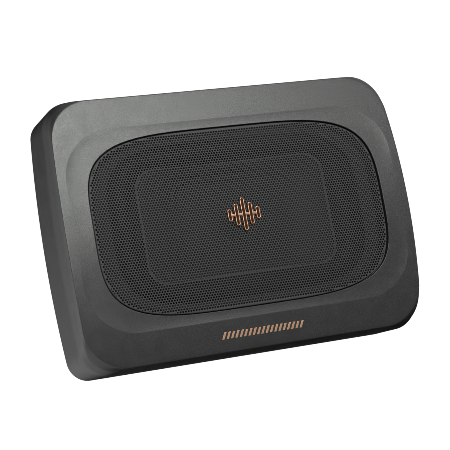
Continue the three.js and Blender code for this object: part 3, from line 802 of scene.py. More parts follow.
def make_cover():
    points, faces = loft_mesh(COVER_DIRECTIONS, cover_rings(), closed=True)
    shell = mesh_object("cover_shell", points, faces)
    face_outwards(shell)
    smooth(shell, 40)
    settle(shell, "satin_paint", "top_cover")
    shell.data.materials.append(RECESS_SHADE_COAT)
    shell.data.materials.append(deck_paint())
    # Faces within the grille's outline take the darker coat, painted shade in the recess; the level deck
    # keeps its own coat.
    recess = superellipse(GRILLE_HALF[0] + 0.5, GRILLE_HALF[1] + 0.5)
    for face in shell.data.polygons:
        x, y, z = face.center / MM
        inside = math.hypot(x, y) < recess(np.array([math.atan2(y, x)]))[0]
        on_deck = inside and face.normal.z > 0.9 and abs(z - DECK_TOP) < 1
        face.material_index = 2 if on_deck else int(inside)
    opening = post(0, BAY_CENTRE_Z, BAY_LENGTH / 2, BAY_HEIGHT / 2, 86, 105, 3, 0.1, "Y")
    cut(shell, made_from("cutter", opening))
    smooth(shell, 40)


# ---- Grille: pierced and arched steel sheet ----


def staggered_holes(outline):
    """Centres and radii of a staggered pattern, rows along X; holes shrink where an outline cuts in."""
    row_pitch = HOLE_PITCH * math.sqrt(3) / 2
    rows = int(GRILLE_HALF[1] / row_pitch)
    columns = int(GRILLE_HALF[0] / HOLE_PITCH) + 1
    centres = []
    for row in range(-rows, rows + 1):
        shift = HOLE_PITCH / 2 * (row % 2)
        for column in range(-columns, columns + 1):
            centres.append((column * HOLE_PITCH + shift, row * row_pitch))
    centres = np.array(centres)
    room = outline(np.arctan2(centres[:, 1], centres[:, 0])) - np.hypot(centres[:, 0], centres[:, 1])
    kept = room > HOLE_SMALLEST
    return centres[kept], np.minimum(room[kept], HOLE_RADIUS)


def grille_height(y, below):
    return CROWN_TOP - CROWN_BEND * y * y - below


def pierced_triangles(holes, edge):
    """Triangles between the corners of the holes and the edge, without those that fill a hole."""
    flat = [Vector(p) for p in np.concatenate([holes, edge])]
    _, _, triangles, _, _, _ = delaunay_2d_cdt(flat, [], [], 0, 1e-6)
    hole_of = np.concatenate([np.arange(len(holes)) // HOLE_CORNERS, -1 - np.arange(len(edge))])
    corner_holes = hole_of[np.array(triangles)]
    solid = ~np.all(corner_holes == corner_holes[:, :1], axis=1)
    return np.array(triangles)[solid].tolist()


def hole_walls(count, offset):
    """Quads from the corners of the holes to the lower corners, which come that many points later."""
    corner = np.arange(count)
    following = corner // HOLE_CORNERS * HOLE_CORNERS + (corner + 1) % HOLE_CORNERS
    walls = np.stack([corner, following, following + offset, corner + offset], axis=1)
    return walls[:, ::-1].tolist()


def turned_down_edge(directions):
    """Points of the rings by which the sheet's edge turns down."""
    return [
        ring_points(directions, ring(directions, superellipse(*(GRILLE_HALF - inset)), GRILLE_DROP + below))
        for inset, below in ((0.28, 0.08), (0.08, 0.28), (0, 0.6), (0, GRILLE_THICKNESS))
    ]


def face_upwards(made):
    """Turns the triangles of a sheet upwards."""
    shape = bmesh.new()
    shape.from_mesh(made.data)
    for face in shape.faces:
        if len(face.verts) == 3 and face.normal.z < 0:
            face.normal_flip()
    shape.to_mesh(made.data)
    shape.free()


def make_grille():
    """The pierced sheet with its turned edge; the walls of its holes have the darker recess coat, painted
    shade that makes the holes look dark.
    """
    directions = even_directions(superellipse(*GRILLE_HALF), 240)
    centres, radii = staggered_holes(superellipse(*(GRILLE_HALF - GRILLE_BORDER)))
    turn = (np.arange(HOLE_CORNERS) + 0.5) * 2 * math.pi / HOLE_CORNERS
    corners = np.stack([np.cos(turn), np.sin(turn)], axis=1)
    holes = (centres[:, None, :] + corners[None] * radii[:, None, None]).reshape(-1, 2)
    reach = superellipse(*(GRILLE_HALF - GRILLE_EDGE_TURN))(directions)
    edge = np.stack([reach * np.cos(directions), reach * np.sin(directions)], axis=1)

    sheet = np.concatenate([holes, edge])
    top = np.column_stack([sheet, grille_height(sheet[:, 1], GRILLE_DROP)])
    low = grille_height(holes[:, 1], GRILLE_DROP + SHEET_THICKNESS)
    edge_rings = turned_down_edge(directions)
    points = np.concatenate([top, np.column_stack([holes, low]), *edge_rings])

    faces = pierced_triangles(holes, edge)
    first_wall = len(faces)
    faces += hole_walls(len(holes), len(top))
    walls_end = len(faces)
    previous = len(holes)
    for i in range(len(edge_rings)):
        here = len(top) + len(holes) + i * len(directions)
        faces += [f[::-1] for f in band_faces(len(directions), previous, here)]
        previous = here
    grille = mesh_object("grille_sheet", points, faces)
    face_upwards(grille)
    smooth(grille, 30)
    settle(grille, "grille_paint", "grille")
    # The walls of the holes take the darker coat as painted shade.
    grille.data.materials.append(RECESS_SHADE_COAT)
    for face in grille.data.polygons[first_wall:walls_end]:
        face.material_index = 1


def make_grille_seal():
    """Foam strip between the rim of the grille and its ledge."""
    at = even_directions(LEDGE_INNER, 220)
    outer, inner = drawn_in(superellipse(*GRILLE_HALF), -0.2), drawn_in(LEDGE_INNER, -0.6)
    top, bottom = GRILLE_DROP + GRILLE_THICKNESS + 0.25, LEDGE_BELOW - 0.25
    keys = [
        (ring(at, inner, bottom), 0.2, 1),
        (ring(at, outer, bottom), 0.2, 1),
        (ring(at, outer, top), 0.2, 1),
        (ring(at, inner, top), 0.2, 1),
    ]
    settle(lofted("grille_foam", at, keys), "foam", "grille_seal")


# ---- Badge of five bars, and the row of dashes below the grille ----


def rounded_bar(length, width, base, height, rim=0.65, sunk=0.5):
    """A bar along Y with round ends, a raised rim and a sunk core, on a level base at the origin."""
    half_l, half_w = length / 2, width / 2
    count = 64
    turn = np.linspace(0, 2 * math.pi, count, endpoint=False)
    shift = np.where(np.sin(turn) >= 0, 1, -1) * (half_l - half_w)
    top = base + height
    profile = filleted(
        [
            (half_w, base),
            (half_w, top - 0.3),
            (half_w - 0.25, top),
            (half_w - rim, top),
            (half_w - rim - 0.15, top - sunk),
            (half_w - rim - 0.3, top - sunk),
        ],
        0.18,
    )
    points = []
    for reach, height_here in profile:
        x = reach * np.cos(turn)
        y = reach * np.sin(turn) + shift
        points.append(np.column_stack([x, y, np.full(count, height_here)]))
    faces = []
    for i in range(len(profile) - 1):
        faces += band_faces(count, i * count, (i + 1) * count)
    faces.append([(len(profile) - 1) * count + i for i in range(count)])
    faces.append(list(range(count))[::-1])
    return np.concatenate(points), faces


BADGE_BARS = (9, 16, 24, 16, 9)
BADGE_PITCH = 5.4
BADGE_BAR_WIDTH = 3.3


def make_badge():
    """Five level bars with bright rims and dark cores, joined by a slim strip."""
    base = BADGE_LOW[2]
    height = BADGE_HIGH[2] - base
    parts = []
    for i, length in enumerate(BADGE_BARS):
        bar = rounded_bar(length, BADGE_BAR_WIDTH, base, height)
        parts.append(moved(bar, ((i - 2) * BADGE_PITCH, 0, 0)))
    half = 2 * BADGE_PITCH + 1
    parts.append(block((-half, -0.9, base), (half, 0.9, base + height * 0.45), 0.8, 0.2))
    badge = made_from("badge_bars", *parts, sharp=50)
    settle(badge, "copper", "badge")
    badge.data.materials.append(dark_copper())
    rim_top = base + height
    for face in badge.data.polygons:
        across = (face.center.x / MM + 2.5 * BADGE_PITCH) % BADGE_PITCH - BADGE_PITCH / 2
        level_face = face.normal.z > 0.9 and abs(across) < BADGE_BAR_WIDTH / 2 - 0.8
        above_rim = rim_top - face.center.z / MM
        face.material_index = int(level_face and 0.3 < above_rim < height * 0.5)


INLAY_DASHES = 19


def make_inlay():
    """Small slanted dashes that follow the arched face."""
    centre = (INLAY_LOW + INLAY_HIGH) / 2
    half_length = (INLAY_HIGH[0] - INLAY_LOW[0]) / 2
    half_width = (INLAY_HIGH[1] - INLAY_LOW[1]) / 2
    slant = 1.1
    dash = 1.7
    parts = []
    for x in np.linspace(-half_length + dash, half_length - dash, INLAY_DASHES):
        corners = [
            (x - dash / 2 - slant, -half_width),
            (x + dash / 2 - slant, -half_width),
            (x + dash / 2 + slant, half_width),
            (x - dash / 2 + slant, half_width),
        ]
        points, rise = [], 0.35
        for up in (0.0, rise):
            for dx, dy in corners:
                y = centre[1] + dy
                points.append((centre[0] + dx, y, grille_height(y, 0) - 0.1 + up))
        faces = [[0, 3, 2, 1], [4, 5, 6, 7]]
        faces += [[i, (i + 1) % 4, (i + 1) % 4 + 4, i + 4] for i in range(4)]
        parts.append((points, faces))
    inlay = mesh_object("inlay_dashes", *joined(parts))
    face_outwards(inlay)
    bevel = inlay.modifiers.new("soft_edges", "BEVEL")
    bevel.width = 0.12 * MM
    bevel.segments = 2
    settle(inlay, "copper", "face_inlay", material=inlay_copper())


# ---- Base: plate, screws and feet ----

BASE_BOTTOM, BASE_TOP = 4.6, 7.6
BASE_SCREWS = [f"base_screw_{i}" for i in range(1, 7)]
BOARD_SCREWS = [f"board_screw_{i}" for i in range(1, 4)]
DRIVER_SCREWS = [f"driver_screw_{i}" for i in range(1, 7)]
FEET = [f"foot_{i}" for i in range(1, 5)]
BRACKET_BOSSES = ((117, 44), (-117, 44), (-117, -44), (117, -44))


def make_screw_bosses():
    """Pillars inside the cover that take the base screws."""
    pillars = []
    for screw in BASE_SCREWS:
        x, y, _ = centre_of(screw)
        foot, ceiling = BASE_TOP + 0.3, grille_height(y, 4.5)
        section = [(1.8, foot), (4.5, foot), (4.5, ceiling), (1.8, ceiling)]
        pillars.append(turned(section, (x, y), closed=True, count=32))
    settle(made_from("screw_bosses", *pillars), "satin_paint")


def make_base_plate():
    edge = drawn_in(GASKET_STEP, 0.4)
    at = even_directions(edge, 240)
    keys = flat_keys(
        at,
        (drawn_in(edge, 2), BASE_BOTTOM, 0, 1),
        (edge, BASE_BOTTOM, 0.6, 1),
        (edge, BASE_TOP, 0.6, 1),
        (drawn_in(edge, 2), BASE_TOP, 0, 1),
    )
    plate = mesh_object("base_casting", *loft_mesh(at, softened(at, keys), capped=True))
    face_outwards(plate)
    holes = []
    for screw in BASE_SCREWS:
        sink = [(3.8, 3), (3.8, 5.9), (2, 7.7), (2, 9)]
        holes.append(turned(sink, centre_of(screw)[:2], fillet=0, count=32))
    holes += [turned([(2.5, 3), (2.5, BASE_TOP - 1.4)], boss, fillet=0) for boss in BRACKET_BOSSES]
    carve(plate, *holes)
    settle(plate, "bare_aluminium", "base_plate")

    ribs = []
    for y in range(-50, 51, 20):
        ribs.append(block((-80, y - 1.5, BASE_BOTTOM - 1.2), (80, y + 1.5, BASE_BOTTOM + 0.5), 1.4, 0.4))
    for boss in BRACKET_BOSSES:
        section = [(2.5, 1.2), (6.5, 1.2), (6.8, BASE_BOTTOM + 0.5), (2.5, BASE_BOTTOM + 0.5)]
        ribs.append(turned(section, boss, closed=True, fillet=0.3))
    for screw in BOARD_SCREWS:
        section = [(1.5, BASE_TOP - 0.5), (3.8, BASE_TOP - 0.5), (3.5, 11.7), (1.5, 11.7)]
        ribs.append(turned(section, centre_of(screw)[:2], closed=True, count=32))
    settle(made_from("base_ribs", *ribs), "bare_aluminium")


def thread(radius, bottom, top, pitch=0.8):
    """Profile of a shank with rings in place of a thread."""
    turns = int((top - bottom) / pitch)
    heights = np.linspace(bottom, top, 2 * turns + 1)
    return [(radius - 0.25 * (i % 2), height) for i, height in enumerate(heights)]


def cross_recess(x, y, face, depth, reach):
    """Two crossed slots in a screw head. The depth is signed."""
    low, high = sorted((face - 0.4 * np.sign(depth), face + depth))
    sizes = (reach, 0.45), (0.45, reach)
    return [post(x, y, *halves, low, high, 0.2, 0.05) for halves in sizes]


def repeated(pattern, nodes, slot):
    """A piece made at the first node's place, copied to each of the nodes that it stands for."""
    for i, node in enumerate(nodes):
        copy = bpy.data.objects.new(f"{pattern.name}_piece_{i + 1}", pattern.data.copy())
        bpy.context.scene.collection.objects.link(copy)
        offset = Vector(centre_of(node) - centre_of(nodes[0])) * MM
        copy.data.transform(Matrix.Translation(offset))
        settle(copy, slot, node)
    bpy.data.objects.remove(pattern)


def make_screws():
    """Three kinds of screw: their shanks and heads, and the face, depth and reach of each recess."""
    base = [(2.4, 4.9), (3.1, 4.95), (3.3, 5.2), (3.3, 5.6), *thread(1.5, 7.5, 24.0), (0.5, 24.6)]
    head = [(2.7, 13.9), (2.7, 14.8), (2.3, 15.5), (1.5, 15.9)]
    board = [(0.5, 6.4), *thread(1.2, 6.9, 13.6), *head]
    head = [(1.7, 50.1), (2.4, 50.3), (2.7, 51.1), (2.7, 52.1)]
    driver = [*head, *thread(1.3, 52.3, 59.0), (0.4, 59.3)]
    kinds = (
        ("base_screw", BASE_SCREWS, "black_steel", base, (4.9, 1.4, 1.9)),
        ("board_screw", BOARD_SCREWS, "zinc_steel", board, (15.9, -1.2, 1.4)),
        ("driver_screw", DRIVER_SCREWS, "zinc_steel", driver, (50.1, 1.2, 1.4)),
    )
    for name, nodes, slot, profile, recess in kinds:
        x, y, _ = centre_of(nodes[0])
        screw = made_from(name, turned(profile, (x, y), fillet=0, count=32))
        carve(screw, *cross_recess(x, y, *recess))
        repeated(screw, nodes, slot)


def make_feet():
    x, y, _ = centre_of(FEET[0])
    profile = [(1, 1.1), (3.4, 1.1), (4.2, 0), (7.7, 0), (8.3, 0.8), (9, 4.3), (1, 4.3)]
    foot = made_from("rubber_foot", turned(profile, (x, y), fillet=0.35))
    repeated(foot, FEET, "rubber")


# ---- Driver ----

SURROUND_EDGE = superellipse(98.5, 60.3)
ROLL_OUTER = superellipse(94.5, 57)
CONE_EDGE = bowed(74, 42.3, 15)
CONE_PANEL = bowed(47, 32, 12)
LIP_BOTTOM = 55.1
LIP_THICKNESS = 0.8
LIP_DROP = 1.5  # the inner lip lies that much lower than the outer one
ROLL_HEIGHT = 4.2
CONE_TOP = 53.3
CONE_THICKNESS = 1.2
PANEL_SEAT = 50.7
COIL_RADIUS = 20.0
SPIDER_REACH = 44.0
SPIDER_FOLDS = 6
YOKE_SEAT = 15.8  # 0.2 lower than in the CAD, where the former touches it at the end of its travel


def between(first, last, along):
    return lambda angles: first(angles) * (1 - along) + last(angles) * along


def bend_along(made):
    """Bakes a ring-shaped piece's placement into its mesh."""
    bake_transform(made)


def make_surround():
    at = even_directions(ROLL_OUTER, 220)
    inner_lip = drawn_in(CONE_EDGE, 3)
    rings, weights = [], []

    def add(outline, height, weight):
        rings.append(level(at, outline, height))
        weights.append(weight)

    def roll(along, sunk):
        rise = (ROLL_HEIGHT - 0.1) * math.sin(math.pi * along)
        height = LIP_BOTTOM - LIP_DROP * along + LIP_THICKNESS - sunk + rise
        add(between(ROLL_OUTER, CONE_EDGE, along), height, along * along * (3 - 2 * along))

    steps = np.linspace(0, 1, 17)
    top, inner_top = LIP_BOTTOM + LIP_THICKNESS, LIP_BOTTOM - LIP_DROP + LIP_THICKNESS
    add(SURROUND_EDGE, LIP_BOTTOM, 0)
    add(SURROUND_EDGE, top - 0.2, 0)
    add(drawn_in(SURROUND_EDGE, 0.3), top, 0)
    for along in steps:
        roll(along, 0)
    add(drawn_in(CONE_EDGE, 2.7), inner_top, 1)
    add(inner_lip, inner_top - 0.2, 1)
    add(inner_lip, inner_top - LIP_THICKNESS, 1)
    for along in steps[::-1]:
        roll(along, LIP_THICKNESS)
    made = mesh_object("rolled_surround", *loft_mesh(at, rings, closed=True))
    face_outwards(made)
    smooth(made, 50)
    made.data.materials.append(FINISHES["rubber"])
    bend_along(made)
    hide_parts("surround")


def make_spider():
    low, high = span("spider")
    middle, wave = (low[2] + high[2]) / 2, (high[2] - low[2] - 0.6) / 2
    count = 96
    steps = np.linspace(0, 1, 12 * SPIDER_FOLDS + 1)
    profile, weights = [], []
    for sunk, order in ((0.3, steps), (-0.3, steps[::-1])):
        for along in order:
            radius = COIL_RADIUS + 0.6 + (SPIDER_REACH - COIL_RADIUS - 0.6) * along
            fade = min(1, 6 * along, 6 * (1 - along))
            fold = math.sin(2 * math.pi * SPIDER_FOLDS * along)
            profile.append((radius, middle + wave * fade * fold + sunk))
            weights.append(1 - along)
    made = made_from("spider_cloth", turned(profile, closed=True, fillet=0, count=count), sharp=60)
    made.data.materials.append(FINISHES["woven_resin"])
    bend_along(made)
    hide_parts("spider")


def make_cone():
    """Shallow cone with three low steps between its centre panel and its edge."""
    at = even_directions(CONE_EDGE, 200)
    neck = circle(COIL_RADIUS + 0.7)
    panel_edge, rim_start = drawn_in(CONE_PANEL, -1.4), drawn_in(CONE_EDGE, 4)
    thick = CONE_THICKNESS

    def wall(sunk):
        stations = []
        for step in range(1, 4):
            for lift, shift in ((0.0, 0.0), (0.45, 0.07)):
                along = step / 4 + shift
                height = PANEL_SEAT + (CONE_TOP - PANEL_SEAT) * along + lift - sunk
                stations.append((between(panel_edge, rim_start, along), height, 0.5, 1))
        return stations

    keys = flat_keys(
        at,
        (neck, PANEL_SEAT - 4.4, 0.3, 2),
        (drawn_in(CONE_PANEL, 4), PANEL_SEAT - 0.6, 0.8, 1),
        (panel_edge, PANEL_SEAT, 0.5, 1),
        *wall(0),
        (rim_start, CONE_TOP, 0.8, 1),
        (CONE_EDGE, CONE_TOP, 0.3, 1),
        (CONE_EDGE, CONE_TOP - thick, 0.3, 1),
        (drawn_in(CONE_EDGE, 3), CONE_TOP - thick, 0.8, 1),
        *wall(thick)[::-1],
        (panel_edge, PANEL_SEAT - thick, 0.5, 1),
        (drawn_in(CONE_PANEL, 4), PANEL_SEAT - 0.6 - thick, 0.8, 1),
        (neck, PANEL_SEAT - 4.4 - thick, 0.3, 1),
    )
    settle(lofted("pressed_cone", at, keys), "cone_board", "cone", body="cone_assembly")


def make_glue_bead():
    """Bead on the inner lip of the surround; its light grey is a painted highlight along the cone's edge.
    """
    at = even_directions(CONE_EDGE, 200)
    lip_top = LIP_BOTTOM - LIP_DROP + LIP_THICKNESS
    keys = flat_keys(
        at,
        (drawn_in(CONE_EDGE, 0.9), lip_top - 0.3, 0.2, 1),
        (drawn_in(CONE_EDGE, 1.1), lip_top + 0.5, 0.3, 1),
        (drawn_in(CONE_EDGE, 2.5), lip_top + 0.5, 0.3, 1),
        (drawn_in(CONE_EDGE, 2.8), lip_top - 0.3, 0.2, 1),
    )
    bead = lofted("glue_bead", at, keys)
    settle(bead, "cone_board", body="cone_assembly", material=bead_glue_and_highlight())


def make_cone_panel():
    """Flat centre panel with a low rim."""
    at = even_directions(CONE_EDGE, 200)
    keys = flat_keys(
        at,
        (drawn_in(CONE_PANEL, 3), PANEL_SEAT + 0.3, 0, 1),
        (CONE_PANEL, PANEL_SEAT + 0.3, 0.3, 1),
        (CONE_PANEL, PANEL_SEAT + 1.7, 0.5, 1),
        (drawn_in(CONE_PANEL, 3), PANEL_SEAT + 1.7, 0.8, 1),
        (drawn_in(CONE_PANEL, 4.5), PANEL_SEAT + 1.1, 0.8, 1),
        (drawn_in(CONE_PANEL, 12), PANEL_SEAT + 1.1, 0, 1),
    )
    panel = lofted("cone_centre", at, keys, closed=False)
    settle(panel, "cone_board", "cone_panel", body="cone_assembly")


def make_motor():
    """Voice coil, magnet and its steel parts."""

    def settled(name, node, body, slot, profile, closed=True, fillet=0.4):
        made = made_from(name, turned(profile, closed=closed, fillet=fillet, count=96))
        settle(made, slot, node, body=body)

    def tube(name, node, body, slot, inner, fillet=0.4):
        low, high = span(node)
        outer = high[0]
        section = [(inner, low[2]), (outer, low[2]), (outer, high[2]), (inner, high[2])]
        settled(name, node, body, slot, section, fillet=fillet)

    tube("former_tube", "coil_former", "cone_assembly", "bare_aluminium", COIL_RADIUS - 0.4, 0.05)
    tube("ferrite_ring", "magnet", "enclosure", "ferrite", COIL_RADIUS + 4, 0.8)
    tube("steel_washer", "top_plate", "enclosure", "zinc_steel", COIL_RADIUS + 1.7)
    low, high = span("voice_coil")
    turns = np.linspace(low[2], high[2], 45)
    winding = [(high[0] - 0.12 * (i % 2), z) for i, z in enumerate(turns)]
    inner = COIL_RADIUS + 0.05
    section = [(inner, low[2]), *winding, (inner, high[2])]
    settled("coil_winding", "voice_coil", "cone_assembly", "coil_wire", section, fillet=0)
    low, high = span("yoke")
    pole = COIL_RADIUS - 1.2
    section = [
        (1, low[2]),
        (high[0] - 2, low[2]),
        (high[0], low[2] + 2),
        (high[0], YOKE_SEAT),
        (pole, YOKE_SEAT),
        (pole, high[2]),
        (6, high[2]),
        (4, low[2] + 8),
        (1, low[2] + 8),
    ]
    settled("pole_yoke", "yoke", "enclosure", "zinc_steel", section, closed=False, fillet=0.6)


# ---- Amplifier board ----

BOARD_NODES = (
    "toroid_choke", "capacitor_1", "capacitor_2", "transistor_1", "transistor_2", "power_socket",
    "speaker_input_socket", "remote_socket", "rca_jack_left", "rca_jack_right", "gain_pot",
    "crossover_pot", "phase_switch", "status_led", *BOARD_SCREWS,
)


CHIP_TRIES = 260
CHIP_SIZES = (0.8, 0.4, 0.5), (0.4, 0.8, 0.5), (2.4, 1.9, 1.5)  # half length, half width, height
CHIP_SHARES = 0.47, 0.47, 0.06


def make_board():
    low, high = span("amplifier_board")
    board = made_from("circuit_board", block(low, high, 2, 0.1))
    holes = [turned([(1.6, 10), (1.6, 16)], centre_of(s)[:2], fillet=0) for s in BOARD_SCREWS]
    carve(board, *holes)
    settle(board, "board_green", "amplifier_board")

    taken = [(span(node)[0][:2] - 2.5, span(node)[1][:2] + 2.5) for node in BOARD_NODES]
    random = np.random.default_rng(11)
    chips, pads = [], []
    for _ in range(CHIP_TRIES):
        x, y = random.uniform(low[:2] + 3, high[:2] - 3)
        if any((a[0] < x < b[0]) and (a[1] < y < b[1]) for a, b in taken):
            continue
        half_x, half_y, tall = random.choice(CHIP_SIZES, p=CHIP_SHARES)
        taken.append((np.array([x - 3.2, y - 2.6]), np.array([x + 3.2, y + 2.6])))
        base = high[2]
        chips.append(post(x, y, half_x, half_y, base, base + tall, 0.1, 0.06))
        long_x = half_x > half_y
        ends = (half_x + 0.35, half_y * 0.8) if long_x else (half_x * 0.8, half_y + 0.35)
        pads.append(post(x, y, *ends, base, base + 0.2, 0.1, 0.04))
    settle(made_from("small_chips", *chips), "black_plastic")
    settle(made_from("solder_pads", *pads), "nickel")


def make_toroid():
    """A ring core under a winding of round wire."""
    low, high = span("toroid_choke")
    centre, half = (low + high) / 2, (high - low) / 2
    winds, around, section = 22, 352, 20
    u = np.linspace(0, 2 * math.pi, around, endpoint=False)[:, None]
    v = np.linspace(0, 2 * math.pi, section, endpoint=False)[None]
    swell = 1 - 0.12 * (1 - np.abs(np.cos(winds / 2 * u)))
    radius = 7 + (half[0] - 7) * swell * np.cos(v)
    height = half[2] * swell * np.sin(v)
    points = np.stack([radius * np.cos(u), radius * np.sin(u), height + 0 * u], axis=2).reshape(-1, 3)
    faces = []
    for i in range(around):
        faces += band_faces(section, i * section, (i + 1) % around * section)
    choke = made_from("wound_choke", (points + centre, faces), sharp=60)
    settle(choke, "coil_wire", "toroid_choke")


def make_capacitors():
    for i in (1, 2):
        low, high = span(f"capacitor_{i}")
        x, y, _ = centre_of(f"capacitor_{i}")
        radius, foot, head = (high[0] - low[0]) / 2, low[2], high[2]
        profile = [
            (radius - 3, foot), (radius, foot), (radius, foot + 2.6), (radius - 0.8, foot + 3.3),
            (radius, foot + 4), (radius, head), (radius - 1.3, head), (radius - 1.5, head - 0.3),
            (1, head - 0.3),
        ]
        can = made_from(f"capacitor_can_{i}", turned(profile, (x, y), fillet=0.4))
        settle(can, "can_sleeve", f"capacitor_{i}")
        can.data.materials.append(FINISHES["bare_aluminium"])
        for face in can.data.polygons:
            out = math.hypot(face.center.x / MM - x, face.center.y / MM - y)
            face.material_index = int(face.center.z / MM > head - 0.5 and (out < radius - 1.3))


# ---- Connector bay ----

BAY_CENTRE_Z = 24.0
BAY_LENGTH, BAY_HEIGHT = 148.0, 22.0
BAY_FLOOR_Y = 85.8
SOCKET_WALLS = {"power_socket": 2.0, "speaker_input_socket": 1.8, "remote_socket": 1.6}
SOCKET_DEPTHS = {"power_socket": 9.0, "speaker_input_socket": 9.0, "remote_socket": 10.0}
RCA_Z = 23.0
RCA_JACKS = {"rca_jack_left": "white_plastic", "rca_jack_right": "red_plastic"}
KNOBS = {"gain_knob": "gain_control", "crossover_knob": "crossover_control"}
KNOB_TURN = 140
BEHIND, PAST = 80, 90  # where the holes through the bay's floor begin and end
RCA_HOLE, KNOB_HOLE, LED_HOLE = 5.5, 3.6, 2  # radii
SWITCH_SLOT = 3.6, 1.9  # half length and half height
SOCKET_GAP = 0.4
BAY_SCREW_HEAD = (1.5, 84), (1.5, 86.2), (1.1, 86.7), (0.4, 86.85)


def bay_block(half_growth, back, front, corner):
    half_x, half_z = BAY_LENGTH / 2 + half_growth, BAY_HEIGHT / 2 + half_growth
    low = (-half_x, back, BAY_CENTRE_Z - half_z)
    return block(low, (half_x, front, BAY_CENTRE_Z + half_z), corner, 0.15, "Y")


def floor_hole(x, z, radius):
    """A round cutter through the bay's floor."""
    return turned([(radius, BEHIND), (radius, PAST)], (x, z), "Y", fillet=0)


def make_bay():
    """Tray with a flange, holed for its sockets, jacks, knobs, switches and lamp."""
    low, high = span("connector_bay")
    bay = made_from("bay_tray", block((low[0], 88.7, low[2]), high, 4, 0.3, "Y"))
    cut(bay, made_from("tray", bay_block(1.6, low[1], high[1] - 0.4, 4.6)), "UNION")
    holes = [bay_block(0, BAY_FLOOR_Y, high[1] + 3, 3)]
    for node in SOCKET_WALLS:
        a, b = span(node)
        low_corner = (a[0] - SOCKET_GAP, BEHIND, a[2] - SOCKET_GAP)
        high_corner = (b[0] + SOCKET_GAP, PAST, b[2] + SOCKET_GAP)
        holes.append(block(low_corner, high_corner, 1.2, 0.05, "Y"))
    for node in RCA_JACKS:
        holes.append(floor_hole(centre_of(node)[0], RCA_Z, RCA_HOLE))
    for node in KNOBS:
        x, _, z = centre_of(node)
        holes.append(floor_hole(x, z, KNOB_HOLE))
    for node in ("phase_switch", "mode_switch"):
        x, _, z = centre_of(node)
        holes.append(post(x, z, *SWITCH_SLOT, BEHIND, PAST, 0.5, 0.05, "Y"))
    x, _, z = centre_of("status_led")
    holes.append(floor_hole(x, z, LED_HOLE))
    for hole in holes:
        cut(bay, made_from("cutter", hole))
    smooth(bay, 35)
    settle(bay, "black_plastic", "connector_bay")


def make_bay_marks():
    """Raised dial ticks round the knobs, end marks beside the switches."""
    marks = []
    top = BAY_FLOOR_Y + 0.12
    for node in KNOBS:
        x, _, z = centre_of(node)
        for turn in np.linspace(-KNOB_TURN, KNOB_TURN, 11):
            half = 0.28 if abs(turn) in (0, KNOB_TURN) else 0.16
            tick, faces = block((-half, BAY_FLOOR_Y - 0.2, 6.1), (half, top, 7.2), 0.1, 0.03, "Y")
            angle = math.radians(turn)
            across, up = tick[:, 0].copy(), tick[:, 2].copy()
            tick[:, 0] = x + across * math.cos(angle) + up * math.sin(angle)
            tick[:, 2] = z - across * math.sin(angle) + up * math.cos(angle)
            marks.append((tick, faces))
    for node, places in (("phase_switch", (-1.75, 1.75)), ("mode_switch", (-1.8, 0, 1.8))):
        x, _, z = centre_of(node)
        for place in places:
            marks.append(post(x + place, z + 2.95, 0.18, 0.45, BAY_FLOOR_Y - 0.2, top, 0.1, 0.03, "Y"))
    settle(made_from("bay_marks", *marks), "white_plastic")


def make_bay_screws():
    """Small round-headed screws at the four corners of the bay's floor."""
    heads, slots = [], []
    for x in (-71.6, 71.6):
        for z in (BAY_CENTRE_Z - 8.4, BAY_CENTRE_Z + 8.4):
            heads.append(turned(BAY_SCREW_HEAD, (x, z), "Y", fillet=0.2))
            slots.append(post(x, z, 1, 0.2, 86.3, 88, 0.1, 0.05, "Y"))
    screws = made_from("bay_screws", *heads)
    carve(screws, *slots)
    settle(screws, "zinc_steel")


def make_sockets():
    for node in SOCKET_WALLS:
        slot = "white_plastic" if node == "speaker_input_socket" else "black_plastic"
        low, high = span(node)
        wall, floor = SOCKET_WALLS[node], high[1] - SOCKET_DEPTHS[node]
        size = (high[0] - low[0], high[2] - low[2])
        profile = [(3, low[1]), (0, low[1]), (0, high[1])]
        profile += [(wall, high[1]), (wall, floor), (wall + 1.5, floor)]
        centre = ((low[0] + high[0]) / 2, (low[2] + high[2]) / 2)
        shell = drawn(rectangle_outline(size, 1.3), profile, centre, "Y", fillet=0.3)
        settle(made_from(node + "_shell", shell), slot, node)

    pins = []
    x, _, z = centre_of("power_socket")
    for shift in (-6.2, 0, 6.2):
        pins.append(post(x + shift, z, 1.7, 0.45, 84, 93, 0.3, 0.25, "Y"))
    x, _, z = centre_of("speaker_input_socket")
    for across in (-4.8, -1.6, 1.6, 4.8):
        for up in (-1.8, 1.8):
            pins.append(post(x + across, z + up, 0.45, 0.45, 83, 91.5, 0.15, 0.2, "Y"))
    x, _, z = centre_of("remote_socket")
    for across in np.linspace(-3.2, 3.2, 6):
        pins.append(post(x + across, z + 0.8, 0.2, 0.2, 80, 88.4, 0.1, 0.08, "Y"))
    settle(made_from("socket_pins", *pins), "nickel")


def make_rca_jacks():
    for node, slot in RCA_JACKS.items():
        low, high = span(node)
        x = centre_of(node)[0]
        back, front, step = low[1], high[1], BAY_FLOOR_Y + 0.8
        barrel = [
            (1, back), (5, back), (5, step - 0.8), (4.15, step),
            (4.15, front), (3.5, front), (3.5, step), (1, step),
        ]
        contact = [(1.2, step), (1.65, step), (1.65, front - 0.8), (1.2, front - 0.8)]
        leg = block((x - 4.5, back, low[2]), (x + 4.5, back + 10, RCA_Z - 3), 0.4, 0.2)
        jack = made_from(
            node + "_barrel",
            turned(barrel, (x, RCA_Z), "Y", fillet=0.2, count=64),
            turned(contact, (x, RCA_Z), "Y", closed=True, fillet=0.1),
            leg,
        )
        settle(jack, "nickel", node)
        insert = [(1.7, step), (3.45, step), (3.45, front - 0.5), (1.7, front - 0.5)]
        foot, brow = BAY_FLOOR_Y + 0.05, step + 0.5
        collar = [(4.2, foot), (5.4, foot), (5.4, brow), (4.2, brow)]
        rings = made_from(
            node + "_ring",
            turned(insert, (x, RCA_Z), "Y", closed=True, fillet=0.15, count=64),
            turned(collar, (x, RCA_Z), "Y", closed=True, fillet=0.2, count=64),
        )
        settle(rings, slot)


